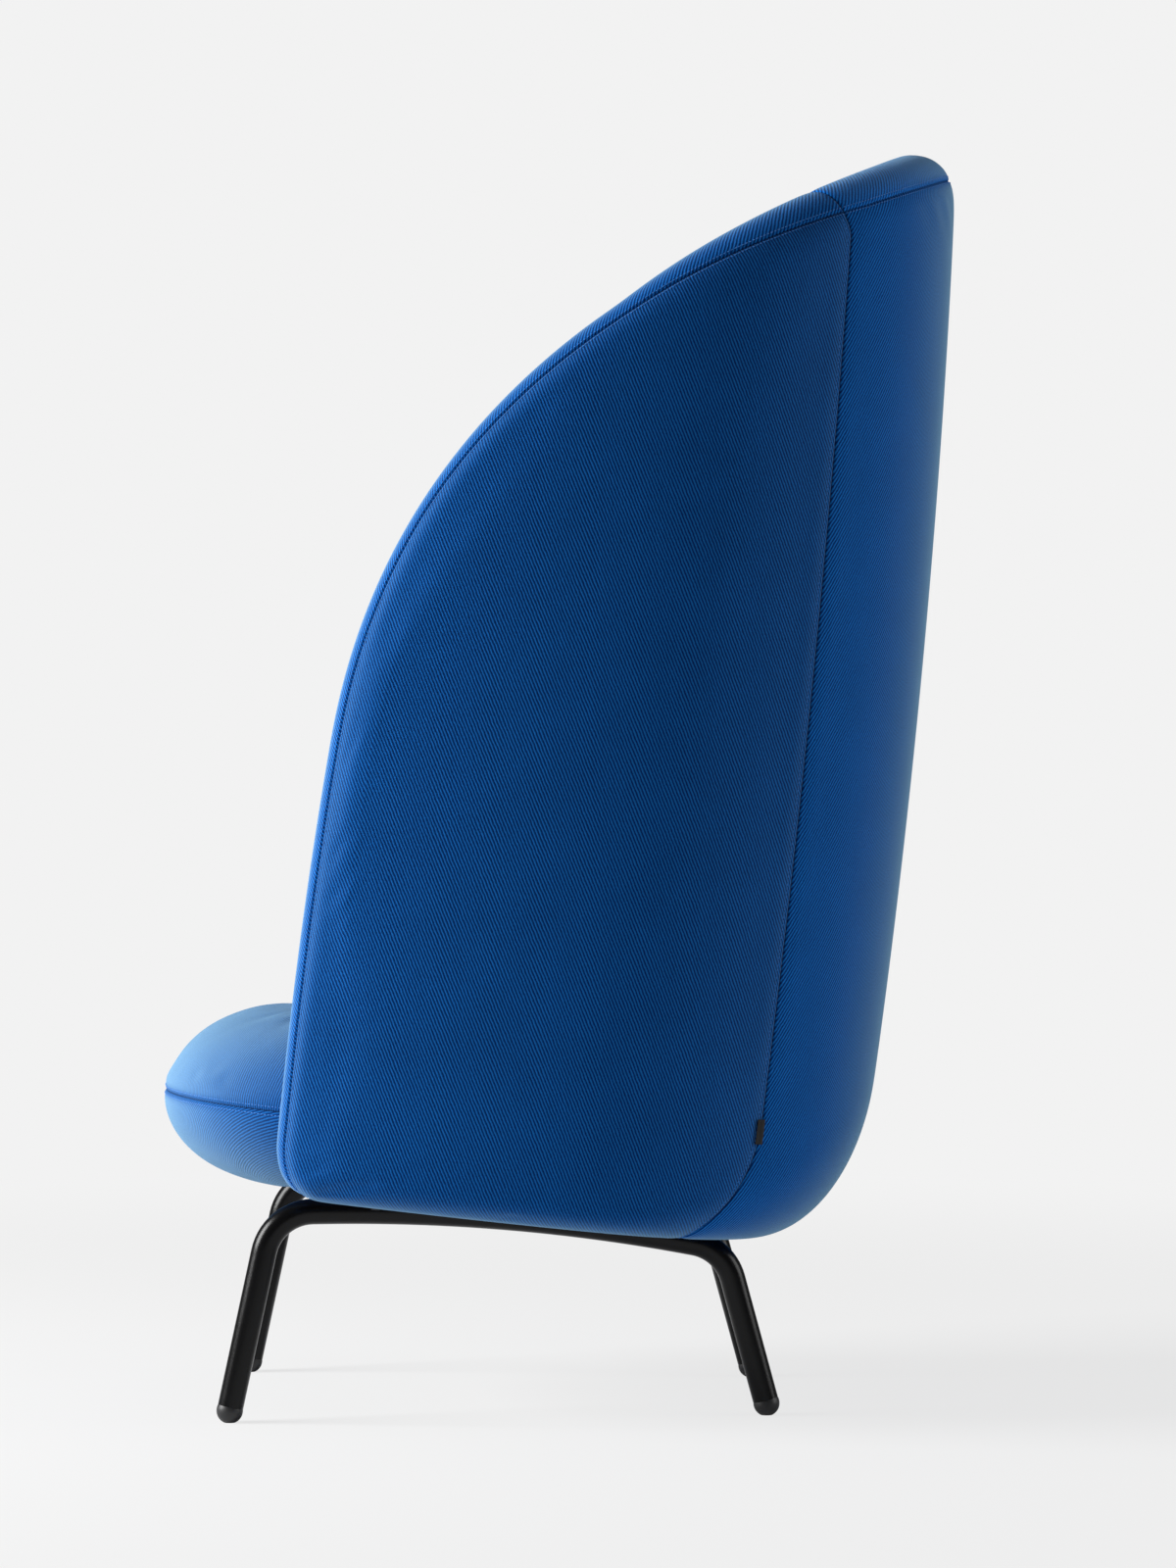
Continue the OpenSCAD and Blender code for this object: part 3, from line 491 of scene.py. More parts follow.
def face_rows(shell, u, low, under):
    """Heights and wall shares of the rows of a face, and of its strip under the shell"""
    top = shell.column_top(u)[..., 1]
    start = np.full(u.shape, low)
    heel = np.maximum(HEEL_LEAST * low, shell.heel_top(shell.column_top(u)[..., 0]))
    climb = [start + (heel - start) * (1 - math.cos(math.pi / 2 * i / HEEL_ROWS)) for i in range(HEEL_ROWS)]
    count = int(round((shell.p.height - shell.p.hem) / CELL))
    rise = [heel + (top - heel) * i / count for i in range(count + 1)]
    z = np.stack(climb + rise, -1)
    w = np.ones(z.shape)
    if under:
        z = np.concatenate([np.tile([t[0] for t in UNDER], (len(u), 1)), z], 1)
        w = np.concatenate([np.tile([t[1] for t in UNDER], (len(u), 1)), w], 1)
    return z, w


def panel(shell, name, u, face, low, front):
    """One cover: a face of the wall and its strip over the rim, up to the seam of the band"""
    z, w = face_rows(shell, u, low, face > 0)
    skip = len(UNDER) if face > 0 else 0
    s = shell.column_s(u[:, None] + 0 * z, np.maximum(z, 0))
    points = shell.wall(s, z, w * face)
    steps = np.linalg.norm(np.diff(points, axis=1), axis=-1)
    level = skip + HEEL_ROWS
    v = z.copy()
    for j in range(level - 1, -1, -1):
        v[:, j] = v[:, j + 1] - steps[:, j]
    nu, nv = z.shape
    faces = grid_faces(nu, nv)
    cloth = np.stack([s, v], -1).reshape(-1, 2)
    path = [(i, nv - 1) for i in range(nu)]
    if front:
        path += [(nu - 1, j) for j in range(nv - 2, skip - 1, -1)]
    path = np.array(path)
    u_path, z_path = u[path[:, 0]], z[path[:, 0], path[:, 1]]
    on_arch = path[:, 1] == nv - 1
    t = np.where(on_arch, shell.arch_at(u_path), 1.0)
    lean = shell.edge_lean(z_path)
    edge_normal = np.stack([np.ones(len(t)), lean], -1) / np.sqrt(1 + lean ** 2)[:, None]
    normal = np.where(on_arch[:, None], shell.arch_normal(t), edge_normal)
    normal[:, 0] *= np.where(u_path < 0, -1, 1)
    foot = np.stack([s[path[:, 0], path[:, 1]], z_path], -1)
    deep = np.where(on_arch, shell.p.rim_roll, shell.corner(z_path))
    strip = 1 - fine_to_coarse(STRIP_SPAN, RIM_CELL)[::-1][1:]
    phi = shell.seam_angle(t)[:, None] * strip[None, :]
    phi = phi if face > 0 else math.pi - phi
    rim = shell.rim(foot[:, None, :], normal[:, None, :], deep[:, None], phi)
    base = points[path[:, 0], path[:, 1]]
    arc = np.cumsum(np.linalg.norm(np.diff(np.concatenate([base[:, None], rim], 1), axis=1), axis=-1), 1)
    rim_cloth = foot[:, None] + normal[:, None] * arc[..., None]
    start, across = nu * nv, len(strip)
    ids = np.concatenate([(path[:, 0] * nv + path[:, 1])[:, None],
                          start + np.arange(len(path) * across).reshape(-1, across)], 1)
    faces += [(int(ids[k, r]), int(ids[k, r + 1]), int(ids[k + 1, r + 1]), int(ids[k + 1, r]))
              for k in range(len(path) - 1) for r in range(across)]
    if face < 0:
        faces = [f[::-1] for f in faces]
    everything = np.concatenate([points.reshape(-1, 3), rim.reshape(-1, 3)])
    cloth = np.concatenate([cloth, rim_cloth.reshape(-1, 2)])
    obj = add_mesh(name, shell.stand(everything), faces, cloth)
    seams = [ids[:, -1], np.arange(skip, nv), ids[0]]
    rows = [ids[:, -ROW_AT]]
    if front:
        by_rear_seam = (ROW_AT - 1) * nv + np.arange(skip + 2, nv)
        rows.append(np.concatenate([by_rear_seam, ids[ROW_AT - 1, 1:-ROW_AT]]))
    else:
        seams += [(nu - 1) * nv + np.arange(skip, nv), ids[-1]]
    lower = (np.arange(nu)[:, None] * nv + np.arange(skip + 1)).ravel()
    return obj, np.concatenate(seams), lower, rows


def band(shell, name, u, front):
    """The strip over the rim, between the seams of the outer and the inner panels"""
    t = shell.arch_at(u)
    foot, normal = shell.column_top(u), shell.arch_normal(t)
    normal[:, 0] *= np.where(u < 0, -1, 1)
    foot[:, 0] *= np.where(u < 0, -1, 1)
    deep = np.full(len(u), shell.p.rim_roll)
    if front:
        top = foot[-1, 1]
        hem_turn = np.linspace(0.2, math.pi / 2, 7)
        z = np.concatenate([np.arange(top - CELL, shell.p.hem, -CELL), shell.p.hem * np.cos(hem_turn)])
        lean = shell.edge_lean(z)
        behind, height = np.array(TUCKS).T
        ends = np.stack([shell.edge_foot(0.0) - behind, height], -1)
        foot = np.concatenate([foot, np.stack([shell.edge_foot(z), z], -1), ends])
        edge_normal = np.stack([np.ones(len(z)), lean], -1) / np.sqrt(1 + lean ** 2)[:, None]
        normal = np.concatenate([normal, edge_normal, np.tile([1.0, 0.0], (len(ends), 1))])
        deep = np.concatenate([deep, shell.corner(z), np.zeros(len(ends))])
        t = np.concatenate([t, np.ones(len(z) + len(ends))])
    seam = shell.seam_angle(t)[:, None]
    across = fine_to_coarse(BAND_SPAN, RIM_CELL, both=True)[None, :]
    phi = seam + (math.pi - 2 * seam) * across
    points = shell.rim(foot[:, None, :], normal[:, None, :], deep[:, None], phi)
    steps = np.linalg.norm(np.diff(points[:, across.shape[1] // 2], axis=0), axis=-1)
    along = np.concatenate([[0], np.cumsum(steps)])
    wide = np.cumsum(np.linalg.norm(np.diff(points, axis=1, prepend=points[:, :1]), axis=-1), 1)
    cloth = np.stack([along[:, None] + 0 * wide, wide - wide[:, -1:] / 2], -1)
    rows, columns = phi.shape
    obj = add_mesh(name, shell.stand(points.reshape(-1, 3)), grid_faces(rows, columns), cloth.reshape(-1, 2))
    along_rows = np.arange(rows - (len(TUCKS) if front else 0)) * columns
    seams = [along_rows, along_rows + columns - 1, np.arange(columns)]
    if not front:
        seams.append((rows - 1) * columns + np.arange(columns))
    lower = (rows - 1) * columns + np.arange(columns)
    return obj, np.concatenate(seams), lower, [along_rows + ROW_AT - 1, along_rows + columns - ROW_AT]


def mirror_piece(obj, name):
    """A copy on the chair's other side, with its faces still outwards"""
    mesh = obj.data.copy()
    mesh.name = name
    twin = bpy.data.objects.new(name, mesh)
    bpy.context.scene.collection.objects.link(twin)
    set_points(twin, mesh_points(obj) * [-1, 1, 1])
    mesh.flip_normals()
    if mesh.uv_layers:
        layer = mesh.uv_layers["cloth"].data
        flat = np.empty(len(layer) * 2)
        layer.foreach_get("uv", flat)
        layer.foreach_set("uv", (flat.reshape(-1, 2) * [-1, 1]).ravel())
    return twin


# Cloth and seams

# Within the first distance of a seam the cloth is held, and past the second it is free
HELD_REACH = 0.010
FREE_REACH = 0.030
SETTLE_FRAMES = 20


def distances(points, line):
    """Each point's distance to the nearest point of a line"""
    tree = kdtree.KDTree(len(line))
    for index, point in enumerate(line):
        tree.insert(point, index)
    tree.balance()
    return np.array([tree.find(point)[2] for point in points])


def settle(obj, held, pressure, cap, slack):
    """Let the cover swell between its seams like cloth over foam, and keep what it does up to cap"""
    scene = bpy.context.scene
    rest = mesh_points(obj)
    gap = distances(rest, rest[np.unique(held)])
    group = obj.vertex_groups.new(name="held")
    group.add([int(i) for i in np.flatnonzero(gap < HELD_REACH)], 1.0, "REPLACE")
    cloth = obj.modifiers.new("Cloth", "CLOTH")
    cloth.settings.vertex_group_mass = group.name
    cloth.settings.quality = 4
    cloth.settings.mass = 0.4
    cloth.settings.tension_stiffness = 12
    cloth.settings.compression_stiffness = 12
    cloth.settings.shear_stiffness = 6
    cloth.settings.bending_stiffness = 1.5
    cloth.settings.shrink_min = -slack
    cloth.settings.use_pressure = True
    cloth.settings.uniform_pressure_force = pressure
    cloth.settings.effector_weights.gravity = 0
    cloth.collision_settings.use_collision = False
    for number in range(1, SETTLE_FRAMES + 1):
        scene.frame_set(number)
    move = mesh_points(obj.evaluated_get(bpy.context.evaluated_depsgraph_get())) - rest
    obj.modifiers.remove(cloth)
    obj.vertex_groups.remove(group)
    scene.frame_set(1)
    far = np.maximum(np.linalg.norm(move, axis=1, keepdims=True), 1e-9)
    free = np.clip((gap - HELD_REACH) / (FREE_REACH - HELD_REACH), 0, 1)[:, None]
    set_points(obj, rest + move / far * cap * np.tanh(far / cap) * free * free * (3 - 2 * free))


def mark_seams(obj, seams):
    """Keep, on each point, whether it lies on a seam"""
    marks = np.zeros(len(obj.data.vertices))
    marks[seams] = 1
    mark_points(obj, "seam", marks)


GROOVE_REACH = 0.0016
PULL_REACH = 0.009
# Within this reach of a seam the painted sheen is held back, on both sides of it
SHEEN_DAMPING_REACH = 0.006


def press_seams(obj):
    """Draw the cover into a groove along its seams, with the foam pulled in on both sides"""
    p = sizes("shell")
    marks = np.empty(len(obj.data.vertices))
    obj.data.attributes["seam"].data.foreach_get("value", marks)
    points, normals = mesh_points(obj), mesh_normals(obj)
    ends = np.empty(len(obj.data.edges) * 2, int)
    obj.data.edges.foreach_get("vertices", ends)
    ends = ends.reshape(-1, 2)
    ends = ends[(marks[ends] > 0.95).all(1)]
    along = (0, 0.25, 0.5, 0.75, 1)
    lines = [points[ends[:, 0]] * (1 - f) + points[ends[:, 1]] * f for f in along]
    gap = distances(points, np.concatenate(lines))
    dip = p.groove * np.exp(-(gap / GROOVE_REACH) ** 2) + p.pull * np.exp(-(gap / PULL_REACH) ** 2)
    set_points(obj, points - normals * dip[:, None])
    # Keep on each point how far the painted sheen is held back near the seams
    mark_points(obj, "ironed", np.exp(-(gap / SHEEN_DAMPING_REACH) ** 2))


STITCH_LENGTH = 0.0030
STITCH_PITCH = 0.0044
STITCH_SIDES = 6
# Place along the stitch, thickness and height over the cloth, as shares of half its length
STITCH_RINGS = ((-1.0, 0.17, -0.30), (-0.72, 0.26, 0.10), (0.0, 0.28, 0.16),
                (0.72, 0.26, 0.10), (1.0, 0.17, -0.30))


def ring_faces(rings, sides):
    """Quads between closed rings of points that are numbered ring by ring"""
    corner = lambda r, k: r * sides + k % sides
    return [(corner(r, k), corner(r + 1, k), corner(r + 1, k + 1), corner(r, k + 1))
            for r in range(rings - 1) for k in range(sides)]


def stitch():
    """Points and faces of one stitch, a closed grain of thread along X"""
    turn = 2 * math.pi * np.arange(STITCH_SIDES) / STITCH_SIDES
    half = STITCH_LENGTH / 2
    points = np.array([(x * half, r * half * c, (h + r * s) * half) for x, r, h in STITCH_RINGS
                       for c, s in zip(np.cos(turn), np.sin(turn))])
    rings = len(STITCH_RINGS)
    faces = [f[::-1] for f in ring_faces(rings, STITCH_SIDES)]
    faces.append(tuple(range(STITCH_SIDES))[::-1])
    faces.append(tuple((rings - 1) * STITCH_SIDES + k for k in range(STITCH_SIDES)))
    return points, faces


def sew(name, cover, paths):
    """Rows of stitches that lie on a cover, each along a path of points"""
    cover_faces = [tuple(f.vertices) for f in cover.data.polygons]
    tree = BVHTree.FromPolygons(mesh_points(cover).tolist(), cover_faces)
    shape, sides = stitch()
    half = STITCH_LENGTH / 2
    points, faces = [], []
    for path in paths:
        run = np.concatenate([[0], np.cumsum(np.linalg.norm(np.diff(path, axis=0), axis=1))])
        at = lambda r: np.stack([np.interp(r, run, path[:, i]) for i in range(3)], -1)
        places = np.arange(STITCH_PITCH / 2, run[-1] - STITCH_PITCH / 2, STITCH_PITCH)
        ways = at(places + half) - at(places - half)
        for centre, way in zip(at(places), ways):
            spot, normal = tree.find_nearest(Vector(centre))[:2]
            spot, normal = np.array(spot), np.array(normal)
            way = way - normal * way.dot(normal)
            way /= np.linalg.norm(way)
            start = len(points) * len(shape)
            points.append(spot + shape @ np.stack([way, np.cross(normal, way), normal]))
            faces += [tuple(start + i for i in f) for f in sides]
    return add_mesh(name, np.concatenate(points), faces)


def finish_cover(obj, seams, rows, stitch_name):
    """Subdivide a settled cover, press its seams in, sew its rows and give it the fabric's thickness"""
    mark_seams(obj, seams)
    paths = [mesh_points(obj)[row] for row in rows]
    apply_modifier(obj, "SUBSURF", levels=1, render_levels=1)
    press_seams(obj)
    stitches = sew(stitch_name, obj, paths)
    apply_modifier(obj, "SOLIDIFY", thickness=CLOTH_THICK, offset=-1.0, use_even_offset=False)
    return stitches


# Seat cushion

SEAT_FRONT_POWER = 2.5
SEAT_REAR_POWER = 3.0
NOSE_LOW = -0.001
TAIL_LOW = 0.012
NOSE_Y = -0.240
NOSE_FADE = 0.060
FLAT_REACH = 0.080
RING = 168
# Share of the crown's height that is lost at the flat's edge, and size of the crown's innermost ring
CROWN_DROP = 0.3
CROWN_TIP = 0.12
# Rings of the crown, of the flat round it, and the spacing and reach of those over the rounding
CROWN_RINGS = 10
FLAT_RINGS = 7
ROLL_CELL = 0.0085
ROLL_SPAN = 0.15
TUCK_SPAN = 0.12
# Rings before the seam in which the cloth turns down, so that its length is measured along it
STEEP_RINGS = 15
SEAT_SWELL = 4.0
SEAT_CAP = 0.0032
SEAT_SLACK = 0.0010


def seat_edge(inset):
    """The cushion's outline in plan, drawn in by an inset"""
    p = sizes("seat")
    a = 2 * math.pi * (np.arange(RING) + 0.5) / RING
    c, s = np.cos(a), np.sin(a)
    deep = np.where(s < 0, p.front, p.rear) - inset
    power = np.where(s < 0, SEAT_FRONT_POWER, SEAT_REAR_POWER)
    x = np.sign(c) * (p.width / 2 - inset) * np.abs(c) ** (2 / power)
    return np.stack([x, -p.lead + np.sign(s) * deep * np.abs(s) ** (2 / power)], -1)


def under_height(y):
    """Height of the cushion's lower face, which hangs lowest under the nose"""
    t = np.clip((y - NOSE_Y) / NOSE_FADE, 0, 1)
    return NOSE_LOW + (TAIL_LOW - NOSE_LOW) * t * t * (3 - 2 * t)


def cushion_rings():
    """Rings of the cushion from the crown out to the seam, and from the seam in to the deck"""
    p = sizes("seat")
    top = p.seam + p.rise
    middle = np.array([0, -p.lead])
    upper, lower = [], []
    flat = seat_edge(p.roll + FLAT_REACH)
    for f in np.linspace(CROWN_TIP, 1, CROWN_RINGS)[:-1]:
        ring = middle + (flat - middle) * f
        upper.append((ring, top + p.crown * (1 - CROWN_DROP * f ** 2) + 0 * ring[:, 0]))
    for f in np.linspace(0, 1, FLAT_RINGS)[:-1]:
        ring = seat_edge(p.roll + FLAT_REACH * (1 - f))
        left = (1 - CROWN_DROP) * p.crown * (1 - f) ** 2 * (1 + 2 * f)
        upper.append((ring, top + left + 0 * ring[:, 0]))
    for f in 2 - fine_to_coarse(ROLL_SPAN, ROLL_CELL)[::-1] - 1:
        a = math.pi / 2 * (1 - f)
        ring = seat_edge(p.roll - p.roll * math.cos(a))
        upper.append((ring, p.seam + p.rise * math.sin(a) + 0 * ring[:, 0]))
    last = math.acos((p.roll - p.inset) / p.roll)
    for f in fine_to_coarse(TUCK_SPAN, ROLL_CELL)[1:]:
        a = last * f
        ring = seat_edge(p.roll - p.roll * math.cos(a))
        lower.append((ring, p.seam - (p.seam - under_height(ring[:, 1])) * math.sin(a)))
    return upper, lower


def cushion():
    """The whole cushion as one cloth, closed over the crown, with a hole over the deck"""
    p = sizes("seat")
    upper, lower = cushion_rings()
    rings = upper + lower
    points = np.array([np.column_stack([r, z]) for r, z in rings])
    roll_start = seat_edge(p.roll)
    way = seat_edge(0.0) - roll_start
    way /= np.linalg.norm(way, axis=1, keepdims=True)
    cloth, seam_row = [], len(upper) - 1
    for row in range(len(rings)):
        off_start = np.linalg.norm(points[row, 0, :2] - roll_start[0]) > 1e-6
        if row == 0 or off_start and row < seam_row - STEEP_RINGS:
            cloth.append(points[row, :, :2])
        else:
            step = np.linalg.norm(points[row] - points[row - 1], axis=1)
            cloth.append(cloth[-1] + way * step[:, None])
    crown = [[0, -p.lead, p.seam + p.rise + p.crown]]
    everything = np.concatenate([points.reshape(-1, 3), crown])
    flat = np.concatenate([np.array(cloth).reshape(-1, 2), [[0, -p.lead]]])
    tip = len(everything) - 1
    faces = ring_faces(len(rings), RING)
    faces += [(tip, k, (k + 1) % RING) for k in range(RING)]
    obj = add_mesh("cushion", on_seat(everything), faces, flat)
    round_once = np.arange(RING)
    return obj, seam_row * RING + round_once, (len(rings) - 1) * RING + round_once, len(upper)


def split_cushion(obj, upper_rows):
    """The settled cushion, cut along its seam into the upper and the lower cover"""
    points = mesh_points(obj)
    layer = obj.data.uv_layers["cloth"].data
    halves = []
    for name, keep in (("cushion_upper", lambda rows: max(rows) < upper_rows),
                       ("cushion_lower", lambda rows: max(rows) >= upper_rows)):
        used, faces, flat = {}, [], []
        for face in obj.data.polygons:
            corners = list(face.vertices)
            rows = [c // RING if c < len(points) - 1 else 0 for c in corners]
            if not keep(rows):
                continue
            new = []
            for corner, loop in zip(corners, face.loop_indices):
                if corner not in used:
                    used[corner] = len(used)
                    flat.append(tuple(layer[loop].uv))
                new.append(used[corner])
            faces.append(tuple(new))
        half = add_mesh(name, points[list(used)], faces, flat)
        seam = [used[i] for i in used if i // RING == upper_rows - 1 and i < len(points) - 1]
        row = upper_rows - ROW_AT if name == "cushion_upper" else upper_rows + ROW_AT - 2
        halves.append((half, seam, [[used[row * RING + k % RING] for k in range(RING + 1)]]))
    bpy.data.objects.remove(obj)
    return halves


# Under the seat

CLOTH_LEVEL = 0.0095
DUST_THICK = 0.0008
DUST_MIDDLE = (0.0, -0.050)
DUST_SIDES = 132
# The sheet ends at this share of the wall behind the seat, and further in by the second one along the wings
DUST_REAR = 0.45
DUST_WING = 0.67
# Column from which the sheet's edge moves in, and the columns over which it does so
DUST_TURN_FROM = 3.0
DUST_TURN_OVER = 2.5
DUST_OVER = 0.001
# Rings of the sheet, as shares of the way from its middle to its edge
DUST_RINGS = (*np.linspace(0.04, 0.96, 24), 0.975, 0.99, 1.0)
# From where to where the dust sheet hangs free between the crossbars and the rim, and how far it sags there
DUST_FIELDS = ((-0.300, -0.155, 0.0030), (-0.105, 0.087, 0.0055), (0.137, 0.320, 0.0040))
TACK_PITCH = 0.045
TACK_PUCKER = 0.0006
STRAP_WIDE = 0.050
STRAP_THICK = 0.0015
STRAP_LEVEL = 0.02575
STRAP_SAG = 0.0015
STRAP_OVER = 0.025
STRAP_GAP = 0.0001
WINDOW_WIDE = 0.280
WINDOW_LONG = 0.240
WINDOW_MIDDLE = -0.003


def reach(outline, middle, ways):
    """Distance from a middle to a closed outline along each way"""
    start = outline - middle
    along = np.roll(start, -1, axis=0) - start
    turn = ways[:, :1] * along[:, 1] - ways[:, 1:] * along[:, 0] + 1e-12
    far = (start[:, 0] * along[:, 1] - start[:, 1] * along[:, 0]) / turn
    part = (start[:, 0] * ways[:, 1:] - start[:, 1] * ways[:, :1]) / turn
    return np.where((part >= 0) & (part <= 1) & (far > 0), far, 0).max(1)


def dust_sheet(name):
    """The cloth that closes the chair from below, tacked round its edge and slack between the crossbars"""
    shell = Shell()
    u = np.linspace(1 - COLUMNS, COLUMNS - 1, 4 * COLUMNS + 1)
    t = np.clip((np.abs(u) - DUST_TURN_FROM) / DUST_TURN_OVER, 0, 1)
    share_in = DUST_REAR - DUST_WING * t * t * (3 - 2 * t)
    foot = shell.over_seat(shell.wall(shell.column_s(u, 0 * u), CLOTH_LEVEL + 0 * u, share_in))[:, :2]
    middle = np.array(DUST_MIDDLE)
    turn = 2 * math.pi * np.arange(DUST_SIDES) / DUST_SIDES
    ways = np.stack([np.cos(turn), np.sin(turn)], -1)
    deck = seat_edge(shell.seat.inset + DUST_OVER)
    rim = ways * np.maximum(reach(foot, middle, ways), reach(deck, middle, ways))[:, None]
    part = np.array(DUST_RINGS)[:, None]
    flat = middle + rim * part[..., None]
    sag = 0
    for low, high, deep in DUST_FIELDS:
        f = np.clip((flat[..., 1] - low) / (high - low), 0, 1)
        sag = sag + deep * 4 * f * (1 - f) * (1 - part ** 4)
    run = np.cumsum(np.linalg.norm(rim - np.roll(rim, 1, axis=0), axis=1))
    pucker = TACK_PUCKER * np.cos(2 * math.pi * run / TACK_PITCH) * part ** 8
    points = np.concatenate([flat, (CLOTH_LEVEL - sag + pucker)[..., None]], -1).reshape(-1, 3)
    points = np.concatenate([points, [[*middle, points[0, 2]]]])
    tip = len(points) - 1
    faces = [(a, d, c, b) for a, b, c, d in ring_faces(len(part), DUST_SIDES)]
    faces += [(tip, (k + 1) % DUST_SIDES, k) for k in range(DUST_SIDES)]
    obj = add_mesh(name, on_seat(points), faces, points[:, :2])
    apply_modifier(obj, "SOLIDIFY", thickness=DUST_THICK, offset=0.0)
    return obj


def strap(name, long, place, across, level):
    """One flat strap, pulled tight over the deck's window; across is true where it runs from side to side"""
    along, wide = np.linspace(-0.5, 0.5, 25), np.linspace(-0.5, 0.5, 5)
    x = place + STRAP_WIDE * wide[None, :] + 0 * along[:, None]
    y = long * along[:, None] + 0 * wide[None, :]
    z = level - STRAP_SAG * np.cos(math.pi * along[:, None]) ** 2 + 0 * x
    order = (y, x + WINDOW_MIDDLE, z) if across else (x, y + WINDOW_MIDDLE, z)
    faces = grid_faces(len(along), len(wide))
    cloth = np.stack([x, y], -1).reshape(-1, 2)
    obj = add_mesh(name, on_seat(np.stack(order, -1).reshape(-1, 3)), faces, cloth)
    apply_modifier(obj, "SOLIDIFY", thickness=STRAP_THICK - STRAP_GAP, offset=0.0)
    return obj


# Node materials


class Web:
    """A node tree under construction"""

    def __init__(self, tree):
        self.tree = tree

    def node(self, kind, inputs=(), **values):
        """A node with its settings and its inputs, each a number, a colour or another node's output"""
        node = self.tree.nodes.new(kind)
        for name, value in values.items():
            setattr(node, name, value)
        for name, value in dict(inputs).items():
            if isinstance(value, bpy.types.NodeSocket):
                self.tree.links.new(value, node.inputs[name])
            else:
                node.inputs[name].default_value = value
        return node

    def math(self, operation, a, b=0.0, c=0.0, clamp=False):
        """A number worked out from up to three others"""
        inputs = {0: a, 1: b, 2: c}
        return self.node("ShaderNodeMath", inputs, operation=operation, use_clamp=clamp).outputs[0]

    def place(self):
        """The piece's own coordinates"""
        return self.node("ShaderNodeTexCoord").outputs["Object"]

    def cloth(self):
        """The place on the flat cloth, in metres"""
        return self.node("ShaderNodeUVMap", uv_map="cloth").outputs[0]

    def mark(self, name):
        """A number that is kept on the points"""
        return self.node("ShaderNodeAttribute", attribute_name=name).outputs["Fac"]

    def mix(self, factor, a, b):
        """A colour between two others"""
        node = self.node("ShaderNodeMix", data_type="RGBA")
        for place, value in (("Factor_Float", factor), ("A_Color", a), ("B_Color", b)):
            socket = next(i for i in node.inputs if i.identifier == place)
            if isinstance(value, bpy.types.NodeSocket):
                self.tree.links.new(value, socket)
            else:
                socket.default_value = value
        return next(o for o in node.outputs if o.identifier == "Result_Color")

    def noise(self, vector, scale, detail=2.0, rough=0.5):
        """Soft noise from 0 to 1"""
        inputs = {"Vector": vector, "Scale": scale, "Detail": detail, "Roughness": rough}
        return self.node("ShaderNodeTexNoise", inputs).outputs["Fac"]

    def wave(self, value, period):
        """A cosine from 0 to 1 along a value"""
        turns = self.math("MULTIPLY", self.math("DIVIDE", value, period), 2 * math.pi)
        return self.math("MULTIPLY_ADD", self.math("COSINE", turns), 0.5, 0.5)


def new_group(name, inputs, outputs):
    """An empty shader node group with these sockets, and its input and output nodes"""
    tree = bpy.data.node_groups.new(name, "ShaderNodeTree")
    kinds = {"v": "NodeSocketVector", "f": "NodeSocketFloat", "c": "NodeSocketColor"}
    for label, kind in inputs:
        tree.interface.new_socket(name=label, in_out="INPUT", socket_type=kinds[kind])
    for label, kind in outputs:
        tree.interface.new_socket(name=label, in_out="OUTPUT", socket_type=kinds[kind])
    return tree, tree.nodes.new("NodeGroupInput"), tree.nodes.new("NodeGroupOutput")


def group(name):
    """One of the shared node groups, built on its first use"""
    return bpy.data.node_groups.get(name) or {"Twill": twill_group, "Heather": heather_group,
                                              "Grain": grain_group, "Speckle": speckle_group}[name]()


def twill_group():
    """Slanting ribs of a twill: how high the yarn stands at each point of the cloth"""
    tree, source, sink = new_group("Twill", (("Cloth", "v"), ("Slant", "f"), ("Pitch", "f")),
                                   (("Height", "f"), ("Rib", "f")))
    web = Web(tree)
    cloth, pitch = source.outputs["Cloth"], source.outputs["Pitch"]
    turned = web.node("ShaderNodeVectorRotate", {"Vector": cloth, "Angle": source.outputs["Slant"],
                                                 "Axis": (0, 0, 1)}, rotation_type="AXIS_ANGLE").outputs[0]
    parts = web.node("ShaderNodeSeparateXYZ", {0: turned})
    sway = web.math("MULTIPLY_ADD", web.noise(cloth, 120.0, 2.0), 0.0014, -0.0007)
    across = web.math("ADD", parts.outputs[1], sway)
    rib = web.wave(across, pitch)
    run = web.math("ADD", parts.outputs[0], web.math("MULTIPLY", across, 1.5))
    yarn = web.wave(run, web.math("MULTIPLY", pitch, 0.62))
    body = web.math("MULTIPLY", rib, web.math("MULTIPLY_ADD", yarn, 0.26, 0.74))
    fuzz_and_painted_sheen = web.noise(cloth, 1500.0, 3.0, 0.7)
    height = web.math("MULTIPLY_ADD", fuzz_and_painted_sheen, 0.30, body)
    tree.links.new(height, sink.inputs["Height"])
    uneven = web.noise(cloth, 480.0, 3.0, 0.6)
    shown = web.math("MULTIPLY_ADD", web.math("SUBTRACT", uneven, 0.5), 0.8, body, clamp=True)
    tree.links.new(shown, sink.inputs["Rib"])
    return tree


def heather_group():
    """Slow and fast changes of tone in dyed wool"""
    tree, source, sink = new_group("Heather", (("Cloth", "v"),), (("Fleck", "f"), ("Tone", "f")))
    web = Web(tree)
    fleck = web.noise(source.outputs["Cloth"], 900.0, 2.0, 0.75)
    fleck = web.math("MULTIPLY", web.math("SUBTRACT", fleck, 0.56), 3.2, clamp=True)
    tree.links.new(fleck, sink.inputs["Fleck"])
    tree.links.new(web.noise(source.outputs["Cloth"], 14.0, 3.0, 0.55), sink.inputs["Tone"])
    return tree


